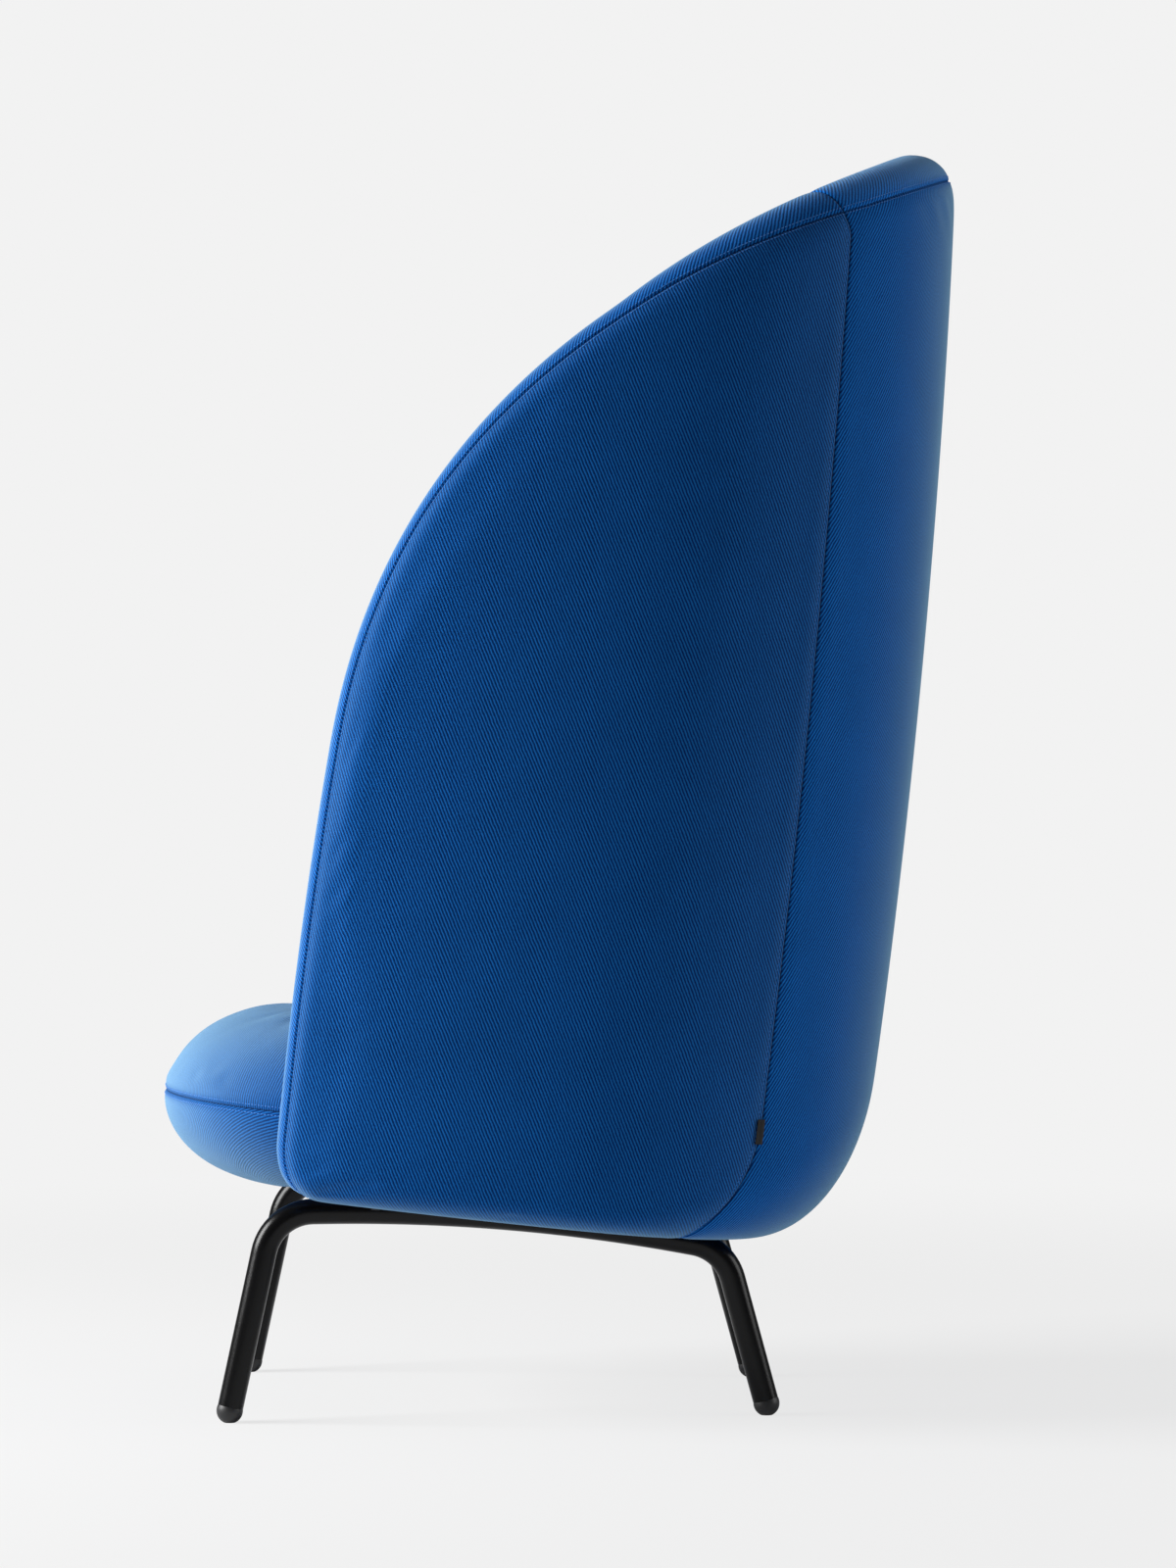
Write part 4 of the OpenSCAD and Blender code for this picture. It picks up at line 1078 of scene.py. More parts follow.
def grain_group():
    """Long grain of a wood veneer with fine pores"""
    tree, source, sink = new_group("Grain", (("Place", "v"),), (("Grain", "f"), ("Pores", "f")))
    web = Web(tree)
    place = source.outputs["Place"]
    drawn = web.node("ShaderNodeMapping", {"Vector": place, "Scale": (34.0, 3.2, 34.0)}).outputs[0]
    tree.links.new(web.noise(drawn, 1.6, 5.0, 0.62), sink.inputs["Grain"])
    fine = web.node("ShaderNodeMapping", {"Vector": place, "Scale": (900.0, 40.0, 900.0)}).outputs[0]
    tree.links.new(web.noise(fine, 1.0, 2.0, 0.5), sink.inputs["Pores"])
    return tree


def speckle_group():
    """Fine orange peel of a coating, with faint handling marks"""
    inputs, outputs = (("Place", "v"), ("Size", "f")), (("Peel", "f"), ("Marks", "f"))
    tree, source, sink = new_group("Speckle", inputs, outputs)
    web = Web(tree)
    place = source.outputs["Place"]
    tree.links.new(web.noise(place, source.outputs["Size"], 2.0, 0.55), sink.inputs["Peel"])
    marks = web.math("SUBTRACT", web.noise(place, 22.0, 4.0, 0.6), 0.5)
    tree.links.new(web.math("MULTIPLY", marks, 2.0, clamp=True), sink.inputs["Marks"])
    return tree


def new_material(name):
    """A material, the web of its nodes and its main shader"""
    material = bpy.data.materials.new(name)
    material.use_nodes = True
    return material, Web(material.node_tree), material.node_tree.nodes["Principled BSDF"]


def place_group(web, name, **inputs):
    """A shared group placed in a material with its own values"""
    node = web.node("ShaderNodeGroup", node_tree=group(name))
    for label, value in inputs.items():
        if isinstance(value, bpy.types.NodeSocket):
            web.tree.links.new(value, node.inputs[label])
        else:
            node.inputs[label].default_value = value
    return node


def surface(web, shader, colour, roughness, height, distance, strength):
    """Feed the main shader its colour, its roughness and the bump of a height"""
    relief = web.node("ShaderNodeBump", {"Height": height, "Distance": distance, "Strength": strength})
    web.tree.links.new(colour, shader.inputs["Base Color"])
    web.tree.links.new(roughness, shader.inputs["Roughness"])
    web.tree.links.new(relief.outputs[0], shader.inputs["Normal"])


def scaled(value, by=1.0):
    """A solid colour, made brighter or darker"""
    return (*[c * by for c in value], 1.0)


# How late the painted sheen of each cloth rises towards a grazing view, how much of it there is, and the gain on its
# colour, painted light that makes brighter copies of the one cloth on some pieces
PAINTED_SHEEN_AND_LIGHT = {"wool_side": (1.75, 1.15, 1.0), "wool_rear": (4.4, 1.55, 1.22), "wool_lining": (1.75, 1.15, 1.0),
        "wool_band": (2.6, 1.0, 1.2), "wool_crown": (2.2, 1.0, 1.6), "wool_seat": (1.25, 1.0, 1.0),
        "wool_nose": (1.6, 1.0, 1.0)}


def wool(name, slant):
    """Blue wool twill on a piece's own cloth map, with its ribs at a slant"""
    look = sizes("cloth")
    painted_sheen_power, painted_sheen_amount, painted_light_gain = PAINTED_SHEEN_AND_LIGHT[name]
    material, web, shader = new_material(name)
    cloth = web.cloth()
    weave = place_group(web, "Twill", Cloth=cloth, Slant=slant, Pitch=look.pitch)
    heather = place_group(web, "Heather", Cloth=cloth)
    # Painted light: the rib and valley colours are raised by each piece's gain, so pieces of the same cloth come out
    # brighter
    shade = web.mix(weave.outputs["Rib"], scaled(look.shaded_valley, painted_light_gain), scaled(look.rib, painted_light_gain))
    tone = web.math("MULTIPLY_ADD", heather.outputs["Tone"], 0.24, 0.88)
    parts = web.node("ShaderNodeSeparateXYZ", {0: cloth})
    # Painted shade: the colour is darkened along the seams' grooves, more at dots spaced at the stitch pitch
    stitch_dots = web.wave(web.math("ADD", parts.outputs[0], parts.outputs[1]), STITCH_PITCH)
    painted_seam_shade = web.math("MULTIPLY", web.mark("seam"), web.math("MULTIPLY_ADD", stitch_dots, 0.35, 0.55))
    lit = web.math("SUBTRACT", 1.0, painted_seam_shade)
    toned = web.node("ShaderNodeVectorMath", {0: shade, 1: web.math("MULTIPLY", tone, lit)},
                     operation="MULTIPLY").outputs[0]
    flecked = web.mix(web.math("MULTIPLY", heather.outputs["Fleck"], 0.16), toned, scaled(look.fleck))
    # Painted sheen: the base colour turns towards the pale fuzz colour where the cloth is seen edge-on
    edge_on = web.node("ShaderNodeLayerWeight", {"Blend": 0.5}).outputs["Facing"]
    fuzz_and_painted_sheen = web.math("MULTIPLY", web.math("POWER", edge_on, painted_sheen_power), look.painted_sheen_share * painted_sheen_amount)
    fuzz_and_painted_sheen = web.math("MULTIPLY", fuzz_and_painted_sheen, lit)
    # Less painted sheen next to the seams
    fuzz_and_painted_sheen = web.math("MULTIPLY", fuzz_and_painted_sheen, web.math("MULTIPLY_ADD", web.mark("ironed"), -0.9, 1.0))
    surface(web, shader, web.mix(fuzz_and_painted_sheen, flecked, scaled(look.fuzz_and_painted_sheen)),
            web.math("MULTIPLY_ADD", weave.outputs["Rib"], -0.10, 0.95), weave.outputs["Height"], 0.0008, 0.6)
    shader.inputs["Specular IOR Level"].default_value = 0.06
    shader.inputs["Sheen Weight"].default_value = look.sheen
    shader.inputs["Sheen Roughness"].default_value = 0.30
    shader.inputs["Sheen Tint"].default_value = (0.42, 0.66, 0.95, 1.0)
    return material


def thread_material():
    """Twisted sewing thread"""
    look = sizes("cloth")
    material, web, shader = new_material("sewing_thread")
    twist = web.noise(web.place(), 2600.0, 2.0, 0.6)
    surface(web, shader, web.mix(twist, scaled(look.thread, 0.6), scaled(look.thread, 1.5)),
            web.math("MULTIPLY_ADD", twist, 0.2, 0.6), twist, 0.0002, 0.6)
    shader.inputs["Sheen Weight"].default_value = 0.3
    return material


def coat_material():
    """Black powder coat, satin, with a fine peel"""
    material, web, shader = new_material("powder_coat")
    peel = place_group(web, "Speckle", Place=web.place(), Size=1400.0)
    rough = web.math("MULTIPLY_ADD", peel.outputs["Peel"], 0.08, 0.20)
    tone = web.mix(peel.outputs["Marks"], (0.0020, 0.0020, 0.0023, 1), (0.0045, 0.0045, 0.005, 1))
    surface(web, shader, tone, web.math("MULTIPLY_ADD", peel.outputs["Marks"], 0.08, rough),
            peel.outputs["Peel"], 0.0002, 0.25)
    shader.inputs["Specular IOR Level"].default_value = 0.20
    return material


SCUFF_HEIGHT = 0.006


def plastic_material():
    """Black moulded plastic of the glides, scuffed near the floor"""
    material, web, shader = new_material("glide_plastic")
    place = web.place()
    peel = place_group(web, "Speckle", Place=place, Size=2400.0)
    height = web.node("ShaderNodeSeparateXYZ", {0: place}).outputs[2]
    low = web.math("SUBTRACT", 1.0, web.math("DIVIDE", height, SCUFF_HEIGHT), clamp=True)
    scuff = web.math("MULTIPLY", low, peel.outputs["Marks"])
    surface(web, shader, web.mix(scuff, (0.010, 0.010, 0.011, 1), (0.06, 0.06, 0.06, 1)),
            web.math("MULTIPLY_ADD", scuff, 0.3, 0.48), peel.outputs["Peel"], 0.0002, 0.3)
    return material


def ply_material():
    """Birch plywood, unfinished, with its grain and pores"""
    birch, pale = (0.50, 0.34, 0.19), (0.68, 0.52, 0.33)
    material, web, shader = new_material("birch_plywood")
    grain = place_group(web, "Grain", Place=web.place())
    veneer = web.mix(grain.outputs["Grain"], scaled(birch), scaled(pale))
    surface(web, shader, web.mix(grain.outputs["Pores"], scaled(birch, 0.9), veneer),
            web.math("MULTIPLY_ADD", grain.outputs["Grain"], 0.15, 0.6), grain.outputs["Pores"], 0.0003, 0.4)
    return material


def zinc_material():
    """Blackened zinc on steel, with faint swirls"""
    material, web, shader = new_material("black_zinc")
    peel = place_group(web, "Speckle", Place=web.place(), Size=900.0)
    surface(web, shader, web.mix(peel.outputs["Marks"], (0.060, 0.061, 0.064, 1), (0.035, 0.036, 0.039, 1)),
            web.math("MULTIPLY_ADD", peel.outputs["Peel"], 0.2, 0.25), peel.outputs["Peel"], 0.0002, 0.2)
    shader.inputs["Metallic"].default_value = 1.0
    return material


WEBBING_RIB = 0.0022


def webbing_material():
    """Elastic webbing: fine ribs lengthwise and a plain weave across"""
    material, web, shader = new_material("elastic_webbing")
    parts = web.node("ShaderNodeSeparateXYZ", {0: web.place()})
    ribs, picks = (web.wave(parts.outputs[k], WEBBING_RIB) for k in (0, 1))
    weave = web.math("MULTIPLY", ribs, picks)
    # Painted shade: darker in the gaps between the raised ribs and picks of the weave
    surface(web, shader, web.mix(weave, (0.008, 0.008, 0.009, 1), (0.035, 0.035, 0.038, 1)),
            web.math("MULTIPLY_ADD", weave, -0.2, 0.9), weave, 0.0006, 0.5)
    return material


def felt_material():
    """Black non-woven cloth with its pressed dots"""
    material, web, shader = new_material("dust_cloth")
    place = web.place()
    cells = web.node("ShaderNodeTexVoronoi", {"Vector": place, "Scale": 420.0}).outputs["Distance"]
    fibres = web.noise(place, 700.0, 4.0, 0.7)
    surface(web, shader, web.mix(fibres, (0.010, 0.010, 0.011, 1), (0.030, 0.030, 0.032, 1)),
            web.math("MULTIPLY_ADD", fibres, 0.1, 0.85),
            web.math("ADD", cells, web.math("MULTIPLY", fibres, 0.4)), 0.0005, 0.5)
    return material


TAPE_PITCH = 0.0009


def tape_material():
    """Black woven tape of the small tab"""
    material, web, shader = new_material("woven_tape")
    weave = place_group(web, "Twill", Cloth=web.cloth(), Slant=math.radians(90), Pitch=TAPE_PITCH)
    # Painted shade: darker in the hollows between the tape's ribs
    surface(web, shader, web.mix(weave.outputs["Rib"], (0.003, 0.003, 0.003, 1), (0.012, 0.012, 0.013, 1)),
            web.math("MULTIPLY_ADD", weave.outputs["Rib"], -0.1, 0.85), weave.outputs["Height"], 0.0003, 0.5)
    return material


MADE = {}


def shared(make):
    """A material that several operators use, made once"""
    if make.__name__ not in MADE:
        MADE[make.__name__] = make()
    return MADE[make.__name__]


# Pieces by operator

# Pressure of the foam under a cover, and how far and how loosely the cover swells with it
PAD_SWELL = 3.0
COVER_CAP = 0.0020
COVER_SLACK = 0.0008
# Widths of the covers between their seams, for the spacing of their columns
SIDE_SPAN = 0.49
REAR_SPAN = 0.71
BACK_SPAN = 0.60
ARCH_SPAN = 0.62


def cover_pair(make, name, nodes, material, slot, thread, swell=PAD_SWELL):
    """A settled and sewn cover on the left and its mirror image on the right, with their stitches"""
    left, seams, lower, rows = make(name + "_left")
    if swell:
        settle(left, np.concatenate([seams, lower]), swell, COVER_CAP, COVER_SLACK)
    stitches = finish_cover(left, seams, rows, name + "_stitches_left")
    pair = (left, mirror_piece(left, name + "_right"))
    for obj, node in zip(pair, nodes):
        dress(obj, material, node, slot=slot)
    for obj in (stitches, mirror_piece(stitches, name + "_stitches_right")):
        dress(obj, thread, slot=slot)
    return pair


def single_cover(made, name, nodes, material, slot, thread, swell=PAD_SWELL):
    """A settled and sewn cover that runs across the chair's middle, with its stitches"""
    obj, seams, lower, rows = made
    if swell:
        settle(obj, np.concatenate([seams, lower]), swell, COVER_CAP, COVER_SLACK)
    stitches = finish_cover(obj, seams, rows, name + "_stitches")
    dress(obj, material, *nodes, slot=slot)
    dress(stitches, thread, slot=slot)
    return obj


def side_columns(span):
    """Columns from the rear seam to the front edge, closely spaced at the seam"""
    return SEAM_COLUMN + (COLUMNS - SEAM_COLUMN) * fine_to_coarse(span, CELL)


def rear_columns(span):
    """Columns from the right to the left rear seam, closely spaced at both"""
    return SEAM_COLUMN * (2 * fine_to_coarse(span, CELL, both=True) - 1)


class CHAIR_OT_outer_covers(bpy.types.Operator):
    """Add the side panels and the rear panel of the shell"""
    bl_idname = "chair.outer_covers"
    bl_label = "Outer Covers"

    def execute(self, context):
        shell, look = Shell(), sizes("cloth")
        thread = shared(thread_material)
        make = lambda name: panel(shell, name, side_columns(SIDE_SPAN), 1, 0.0, True)
        pair = cover_pair(make, "side_panel", ("side_cover_left", "side_cover_right"),
                          wool("wool_side", look.side_ribs), "shell_fabric", thread)
        made = panel(shell, "rear_panel", rear_columns(REAR_SPAN), 1, 0.0, False)
        rear = single_cover(made, "rear_panel", ("rear_cover", "outer_pad"),
                            wool("wool_rear", look.rear_ribs), "shell_fabric", thread)
        return {"FINISHED"}


class CHAIR_OT_linings(bpy.types.Operator):
    """Add the linings on the inside of the wings and of the back"""
    bl_idname = "chair.linings"
    bl_label = "Linings"

    def execute(self, context):
        shell, look = Shell(), sizes("cloth")
        thread, cloth = shared(thread_material), wool("wool_lining", look.rear_ribs)
        make = lambda name: panel(shell, name, side_columns(SIDE_SPAN), -1, LINING_LOW, True)
        pair = cover_pair(make, "lining", ("inner_cover_left", "inner_cover_right"),
                          cloth, "lining_fabric", thread)
        made = panel(shell, "lining_back", rear_columns(BACK_SPAN), -1, LINING_LOW, False)
        back = single_cover(made, "lining_back", ("inner_cover_back", "inner_pad"),
                            cloth, "lining_fabric", thread)
        return {"FINISHED"}


class CHAIR_OT_rim_bands(bpy.types.Operator):
    """Add the bands over the rim of the wings and over the crown"""
    bl_idname = "chair.rim_bands"
    bl_label = "Rim Bands"

    def execute(self, context):
        shell, look = Shell(), sizes("cloth")
        thread, cloth = shared(thread_material), wool("wool_band", look.band_ribs)
        make = lambda name: band(shell, name, side_columns(ARCH_SPAN), True)
        pair = cover_pair(make, "edge_band", ("wing_band_left", "wing_band_right"),
                          cloth, "shell_fabric", thread, 0)
        made = band(shell, "crown_strip", rear_columns(REAR_SPAN), False)
        crown = single_cover(made, "crown_strip", ("crown_band",),
                             wool("wool_crown", look.band_ribs), "shell_fabric", thread, 0)
        return {"FINISHED"}


class CHAIR_OT_cushion(bpy.types.Operator):
    """Add the seat cushion's upper and lower covers"""
    bl_idname = "chair.cushion"
    bl_label = "Seat Cushion"

    def execute(self, context):
        look = sizes("cloth")
        thread = shared(thread_material)
        whole, seam, rim, upper_rows = cushion()
        settle(whole, np.concatenate([seam, rim]), SEAT_SWELL, SEAT_CAP, SEAT_SLACK)
        halves = split_cushion(whole, upper_rows)
        made = ((("seat_cover_upper", "seat_pad"), "wool_seat", look.seat_ribs),
                (("seat_cover_lower",), "wool_nose", look.nose_ribs))
        for (half, seam, rows), (nodes, cloth, slant) in zip(halves, made):
            stitches = finish_cover(half, seam, rows, half.name + "_stitches")
            dress(half, wool(cloth, slant), *nodes, slot="seat_fabric")
            dress(stitches, thread, slot="seat_fabric")
        return {"FINISHED"}


class CHAIR_OT_underside(bpy.types.Operator):
    """Add the dust sheet and the webbing straps under the cushion"""
    bl_idname = "chair.underside"
    bl_label = "Underside"

    def execute(self, context):
        sheet = dress(dust_sheet("dust_sheet"), felt_material(), "dust_cover", slot="dust_cloth")
        woven = webbing_material()
        for node, over, beside, across in (("webbing_lengthwise", WINDOW_LONG, WINDOW_WIDE, False),
                                           ("webbing_crosswise", WINDOW_WIDE, WINDOW_LONG, True)):
            long, level = over + 2 * STRAP_OVER, STRAP_LEVEL + STRAP_THICK * across
            for k, place in enumerate(("first", "middle", "last")):
                one = strap(node + "_" + place, long, (k - 1) * beside / 3, across, level)
                dress(one, woven, node, slot="webbing")
        return {"FINISHED"}


TAB_LOW = 0.110
TAB_LENGTH = 0.027
TAB_WIDTH = 0.0095
TAB_BEHIND = 0.003
TAB_THICK = 0.0005
# The tab stands off the cover, more at its fold, and its free end curls by a hair
TAB_LIFT = 0.0010
FOLD_LIFT = 0.0011
FOLD_REACH = 0.0025
END_CURL = 0.0007
TAB_BULGE = 0.0003
TAPE_EDGE = 0.00025
TAB_STEP = 0.001


class CHAIR_OT_tab(bpy.types.Operator):
    """Add the small bare tab that is caught in the left rear seam"""
    bl_idname = "chair.tab"
    bl_label = "Seam Tab"

    def execute(self, context):
        shell = Shell()
        seam = shell.column_s(np.array([float(SEAM_COLUMN)]), np.array([TAB_LOW]))[0]
        across = np.linspace(-TAB_BEHIND, TAB_WIDTH - TAB_BEHIND, 9)
        along = np.linspace(0, TAB_LENGTH, 19)
        s = seam + across[:, None] + 0 * along
        z = TAB_LOW + along[None, :] + 0 * across[:, None]
        on_cover = lambda at, high: shell.stand(shell.wall(at, high, np.ones(s.shape)))
        points = on_cover(s, z)
        side = on_cover(s + TAB_STEP, z) - points
        up = on_cover(s, z + TAB_STEP) - points
        normal = np.cross(up, side)
        normal /= np.linalg.norm(normal, axis=-1, keepdims=True)
        part = (across + TAB_BEHIND) / TAB_WIDTH
        lift = TAB_LIFT + FOLD_LIFT * np.exp(-(across / FOLD_REACH) ** 2) + END_CURL * part ** 3
        lift = lift[:, None] + TAB_BULGE * np.sin(along / TAB_LENGTH * math.pi)[None, :]
        points = (points + normal * lift[..., None]).reshape(-1, 3)
        faces = grid_faces(len(across), len(along))
        tab = add_mesh("seam_tab", points, faces, np.stack([s - seam, z], -1).reshape(-1, 2))
        apply_modifier(tab, "SOLIDIFY", thickness=2 * TAB_THICK, offset=0.0)
        apply_modifier(tab, "BEVEL", width=TAPE_EDGE, segments=2, limit_method="ANGLE")
        dress(tab, tape_material(), "label_tab", slot="tab_fabric")
        return {"FINISHED"}


# An edge of a tube that turns by more than this stays sharp
SHARP = math.radians(40)


class CHAIR_OT_tubes(bpy.types.Operator):
    """Bend the two steel tubes of the leg frame"""
    bl_idname = "chair.tubes"
    bl_label = "Bent Tubes"

    def execute(self, context):
        coat = shared(coat_material)
        for side, name in ((1, "left"), (-1, "right")):
            tube = bent_tube(side, "tube_" + name)
            dress(tube, coat, "leg_frame_" + name, slot="frame_steel")
            pick(tube)
            bpy.ops.object.shade_smooth_by_angle(angle=SHARP)
        return {"FINISHED"}


GLIDE_UP = 0.0130
TUBE_END = 0.0045
BAR_REACH = 0.134
SADDLE = 0.0025
RAIL_MIDDLE = 0.004
BAR_LOW = 0.001
BEND_STEPS = 14
RAIL_STEPS = 24
MERGE = 0.00001


def bent_tube(side, name):
    """One tube from the front foot over both bends to the rear foot, as a bender makes it"""
    p, seat = sizes("tube"), sizes("seat")
    radius = p.diameter / 2
    inward = (p.front_feet - p.rear_feet) / 2
    plane = math.hypot(inward, p.span)
    axis = BAR_LOW + BAR_REACH ** 2 / (2 * p.arch) + SADDLE - radius
    y, z = RAIL_MIDDLE, axis - p.arch
    c, s = math.cos(seat.rake), math.sin(seat.rake)
    centre = np.array([y * c + z * s - seat.middle + p.front, seat.base + z * c - y * s])
    feet = [np.array([0, GLIDE_UP]), np.array([plane, GLIDE_UP])]
    ways = [np.array([math.sin(p.front_lean), math.cos(p.front_lean)]),
            np.array([-math.sin(p.rear_lean), math.cos(p.rear_lean)])]
    turns = [np.array([ways[0][1], -ways[0][0]]), np.array([-ways[1][1], ways[1][0]])]
    corners, runs = [], []
    for foot, way, turn in zip(feet, ways, turns):
        start = foot + p.bend * turn - centre
        along = start.dot(way)
        run = -along + math.sqrt(along ** 2 - start.dot(start) + (p.arch - p.bend) ** 2)
        runs.append(run)
        corners.append(foot + run * way + p.bend * turn)
    flat = lambda v: math.atan2(v[1], v[0])
    level = np.array([-side * inward, p.span]) / plane
    place = lambda q: Vector((side * p.front_feet / 2 + level[0] * q[0], -p.front + level[1] * q[0], q[1]))
    way_of = lambda v: Vector((level[0] * v[0], level[1] * v[0], v[1]))
    normal = Vector((level[1], -level[0], 0.0))
    start = feet[0] + TUBE_END * ways[0]
    deselect()
    turned = way_of(ways[0]).to_track_quat("Z", "Y").to_euler()
    bpy.ops.mesh.primitive_circle_add(vertices=p.sides, radius=radius, fill_type="NGON",
                                      location=place(start), rotation=turned)
    tube = bpy.context.active_object
    tube.name = tube.data.name = name
    bpy.ops.object.transform_apply(location=True, rotation=True, scale=True)
    bpy.ops.object.mode_set(mode="EDIT")
    bpy.ops.mesh.select_all(action="SELECT")
    extrude(way_of(ways[0] * (runs[0] - TUBE_END)))
    rail_from, rail_to = flat(corners[0] - centre), flat(corners[1] - centre)
    bends = ((corners[0], flat(-turns[0]), rail_from, BEND_STEPS), (centre, rail_from, rail_to, RAIL_STEPS),
             (corners[1], rail_to, flat(-turns[1]), BEND_STEPS))
    for middle, first, last, steps in bends:
        bpy.ops.mesh.spin(steps=steps, angle=last - first, center=place(middle), axis=-normal,
                          use_auto_merge=False)
    extrude(way_of(-ways[1] * (runs[1] - TUBE_END)))
    bpy.ops.mesh.select_all(action="SELECT")
    bpy.ops.mesh.remove_doubles(threshold=MERGE)
    bpy.ops.mesh.normals_make_consistent(inside=False)
    bpy.ops.object.mode_set(mode="OBJECT")
    return tube


def extrude(way):
    """Extrude the selected face by a way"""
    bpy.ops.mesh.extrude_region_move(TRANSFORM_OT_translate={"value": way, "orient_type": "GLOBAL"})


class CHAIR_OT_finishes(bpy.types.Operator):
    """Give the solids that stay in view their materials"""
    bl_idname = "chair.finishes"
    bl_label = "Finishes"

    def execute(self, context):
        made = {"frame_steel": shared(coat_material), "glide_plastic": plastic_material(),
                "plywood": ply_material(), "zinc_steel": zinc_material()}
        slots = {part["node"]: part["material_slot"] for part in frame["record"]["subparts"]}
        for name, obj in frame["nodes"].items():
            if slots[name] in made:
                obj.data.materials.clear()
                obj.data.materials.append(made[slots[name]])
        return {"FINISHED"}


class CHAIR_OT_stage(bpy.types.Operator):
    """Add the floor, the lights and the camera"""
    bl_idname = "chair.stage"
    bl_label = "Stage"

    def execute(self, context):
        add_floor()
        add_lights()
        add_world()
        add_camera()
        context.scene.view_settings.view_transform = "Standard"
        return {"FINISHED"}


FLOOR_HALF = 30
# Distance from the chair at which the floor's own shading starts to fade, and over which it fades
FLOOR_NEAR = 0.9
FLOOR_FADE = 2.4
# How bright the floor and the background are in what the chair reflects
GLOSS = 0.12
CHAIR_MIDDLE = (0.0, 0.0, 0.75)
# Each light's place and the length of its sides
LIGHTS = {"key": ((0.55, -3.6, 1.9), 2.0), "fill": ((0.6, 3.8, 1.5), 2.0), "top": ((0.2, -0.3, 4.2), 2.6)}
SENSOR = 36.0
LENS = 127.9
CAMERA_AT = (6.300, -0.072, 0.725)
# How far the camera looks down, and how far it turns towards the chair's front, in degrees
CAMERA_DOWN = 0.302
CAMERA_ASIDE = 0.947


def seen_rays(web):
    """How much of the plain backdrop a ray meets: all of a camera ray, a little of a glossy one"""
    ray = web.node("ShaderNodeLightPath")
    glossy = web.math("MULTIPLY", ray.outputs["Is Glossy Ray"], GLOSS)
    return web.math("MAXIMUM", ray.outputs["Is Camera Ray"], glossy)


def add_floor():
    """A wide pale floor with the chair's soft shadow near it, which runs into the background far off"""
    look = sizes("stage")
    corners = [(x * FLOOR_HALF, y * FLOOR_HALF, 0) for x, y in ((-1, -1), (1, -1), (1, 1), (-1, 1))]
    floor = add_mesh("floor", corners, [(0, 1, 2, 3)])
    material, web, shader = new_material("pale_floor")
    web.tree.nodes.remove(shader)
    far = web.node("ShaderNodeVectorMath", {0: web.place()}, operation="LENGTH").outputs["Value"]
    gone = web.math("DIVIDE", web.math("SUBTRACT", far, FLOOR_NEAR), FLOOR_FADE)
    near = web.math("SUBTRACT", 1.0, gone, clamp=True)
    near = web.math("MULTIPLY", near, web.math("MULTIPLY", near, web.math("MULTIPLY_ADD", near, -2.0, 3.0)))
    own = web.math("MULTIPLY", near, look.shadow)
    plain = web.math("SUBTRACT", 1.0, own)
    level = web.math("DIVIDE", web.math("SUBTRACT", 1.0, web.math("MULTIPLY", own, look.floor_level)), plain)
    matt = web.node("ShaderNodeBsdfDiffuse", {"Color": scaled(look.ground)})
    glow = web.node("ShaderNodeEmission", {"Color": scaled(look.ground), "Strength": level})
    shown = web.math("MULTIPLY", seen_rays(web), plain)
    mixed = web.node("ShaderNodeMixShader", {0: shown, 1: matt.outputs[0], 2: glow.outputs[0]})
    web.tree.links.new(mixed.outputs[0], web.tree.nodes["Material Output"].inputs["Surface"])
    floor.data.materials.append(material)
    floor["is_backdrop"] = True


def add_light(name, place, size, power):
    """A square area light that looks at the chair's middle"""
    data = bpy.data.lights.new(name, "AREA")
    data.shape = "SQUARE"
    data.size = size
    data.energy = power
    lamp = bpy.data.objects.new(name, data)
    lamp.location = place
    lamp.rotation_euler = (Vector(CHAIR_MIDDLE) - Vector(place)).to_track_quat("-Z", "Y").to_euler()
    bpy.context.scene.collection.objects.link(lamp)


def add_lights():
    """A strong light in front of the chair, a weak one behind it and one over it"""
    for name, (place, size) in LIGHTS.items():
        add_light(name + "_light", place, size, getattr(sizes("stage"), name))


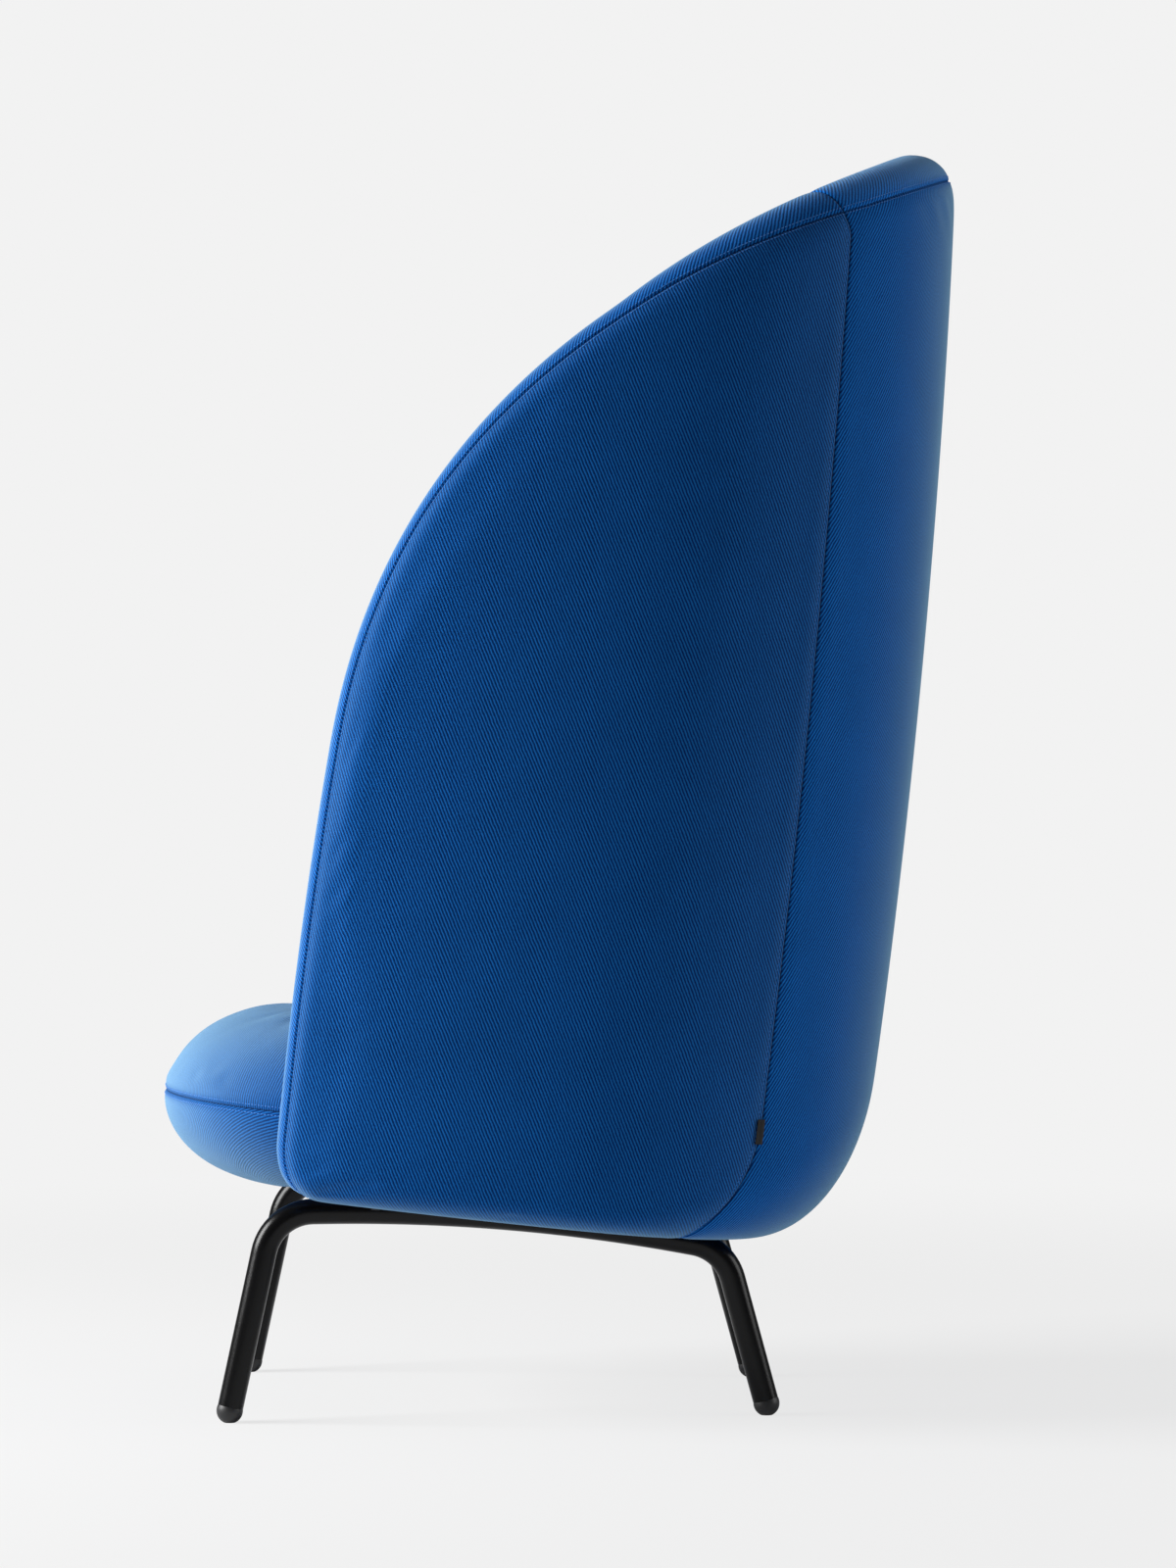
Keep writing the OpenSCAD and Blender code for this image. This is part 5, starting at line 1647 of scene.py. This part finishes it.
def add_world():
    """Even light all round, and the plain background that the camera and reflections see"""
    look = sizes("stage")
    world = bpy.data.worlds.new("studio")
    bpy.context.scene.world = world
    world.use_nodes = True
    web = Web(world.node_tree)
    back = web.tree.nodes["Background"]
    strength = web.math("MULTIPLY_ADD", seen_rays(web), 1 - look.air, look.air)
    web.tree.links.new(strength, back.inputs["Strength"])
    back.inputs["Color"].default_value = scaled(look.ground)


def add_camera():
    """The photograph's view: from the sitter's left, a little above the seat"""
    data = bpy.data.cameras.new("camera")
    data.sensor_width = SENSOR
    data.lens = LENS
    data.clip_end = 100.0
    camera = bpy.data.objects.new("camera", data)
    camera.location = CAMERA_AT
    camera.rotation_euler = (math.radians(90 - CAMERA_DOWN), 0.0, math.radians(90 - CAMERA_ASIDE))
    bpy.context.scene.collection.objects.link(camera)
    bpy.context.scene.camera = camera


class CHAIR_PT_panel(bpy.types.Panel):
    """Sidebar panel that lists the chair's pieces"""
    bl_label = "Easy Chair"
    bl_idname = "CHAIR_PT_panel"
    bl_space_type = "VIEW_3D"
    bl_region_type = "UI"
    bl_category = "Easy Chair"

    def draw(self, context):
        for operator in STEPS:
            self.layout.operator(operator.bl_idname)


GROUPS = {"shell": ShellSizes, "seat": SeatSizes, "tube": TubeSizes, "cloth": ClothLook, "stage": StageLook}
STEPS = (CHAIR_OT_stage, CHAIR_OT_finishes, CHAIR_OT_tubes, CHAIR_OT_outer_covers, CHAIR_OT_linings,
         CHAIR_OT_rim_bands, CHAIR_OT_cushion, CHAIR_OT_underside, CHAIR_OT_tab)


def register():
    """Make the classes known and hang the property groups on the scene"""
    for cls in (*GROUPS.values(), *STEPS, CHAIR_PT_panel):
        bpy.utils.register_class(cls)
    for name, cls in GROUPS.items():
        setattr(bpy.types.Scene, "chair_" + name, PointerProperty(type=cls))


def unregister():
    """Take back what register() did"""
    for name in GROUPS:
        delattr(bpy.types.Scene, "chair_" + name)
    for cls in reversed((*GROUPS.values(), *STEPS, CHAIR_PT_panel)):
        bpy.utils.unregister_class(cls)


def main():
    """Build the chair's looks in order"""
    register()
    for step in STEPS:
        space, name = step.bl_idname.split(".")
        getattr(getattr(bpy.ops, space), name)()
    boxes = {"solids": [list(corner) for corner in SOLID_BOX], "dressed": [list(corner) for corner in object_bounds()]}


if __name__ == "__main__":
    main()
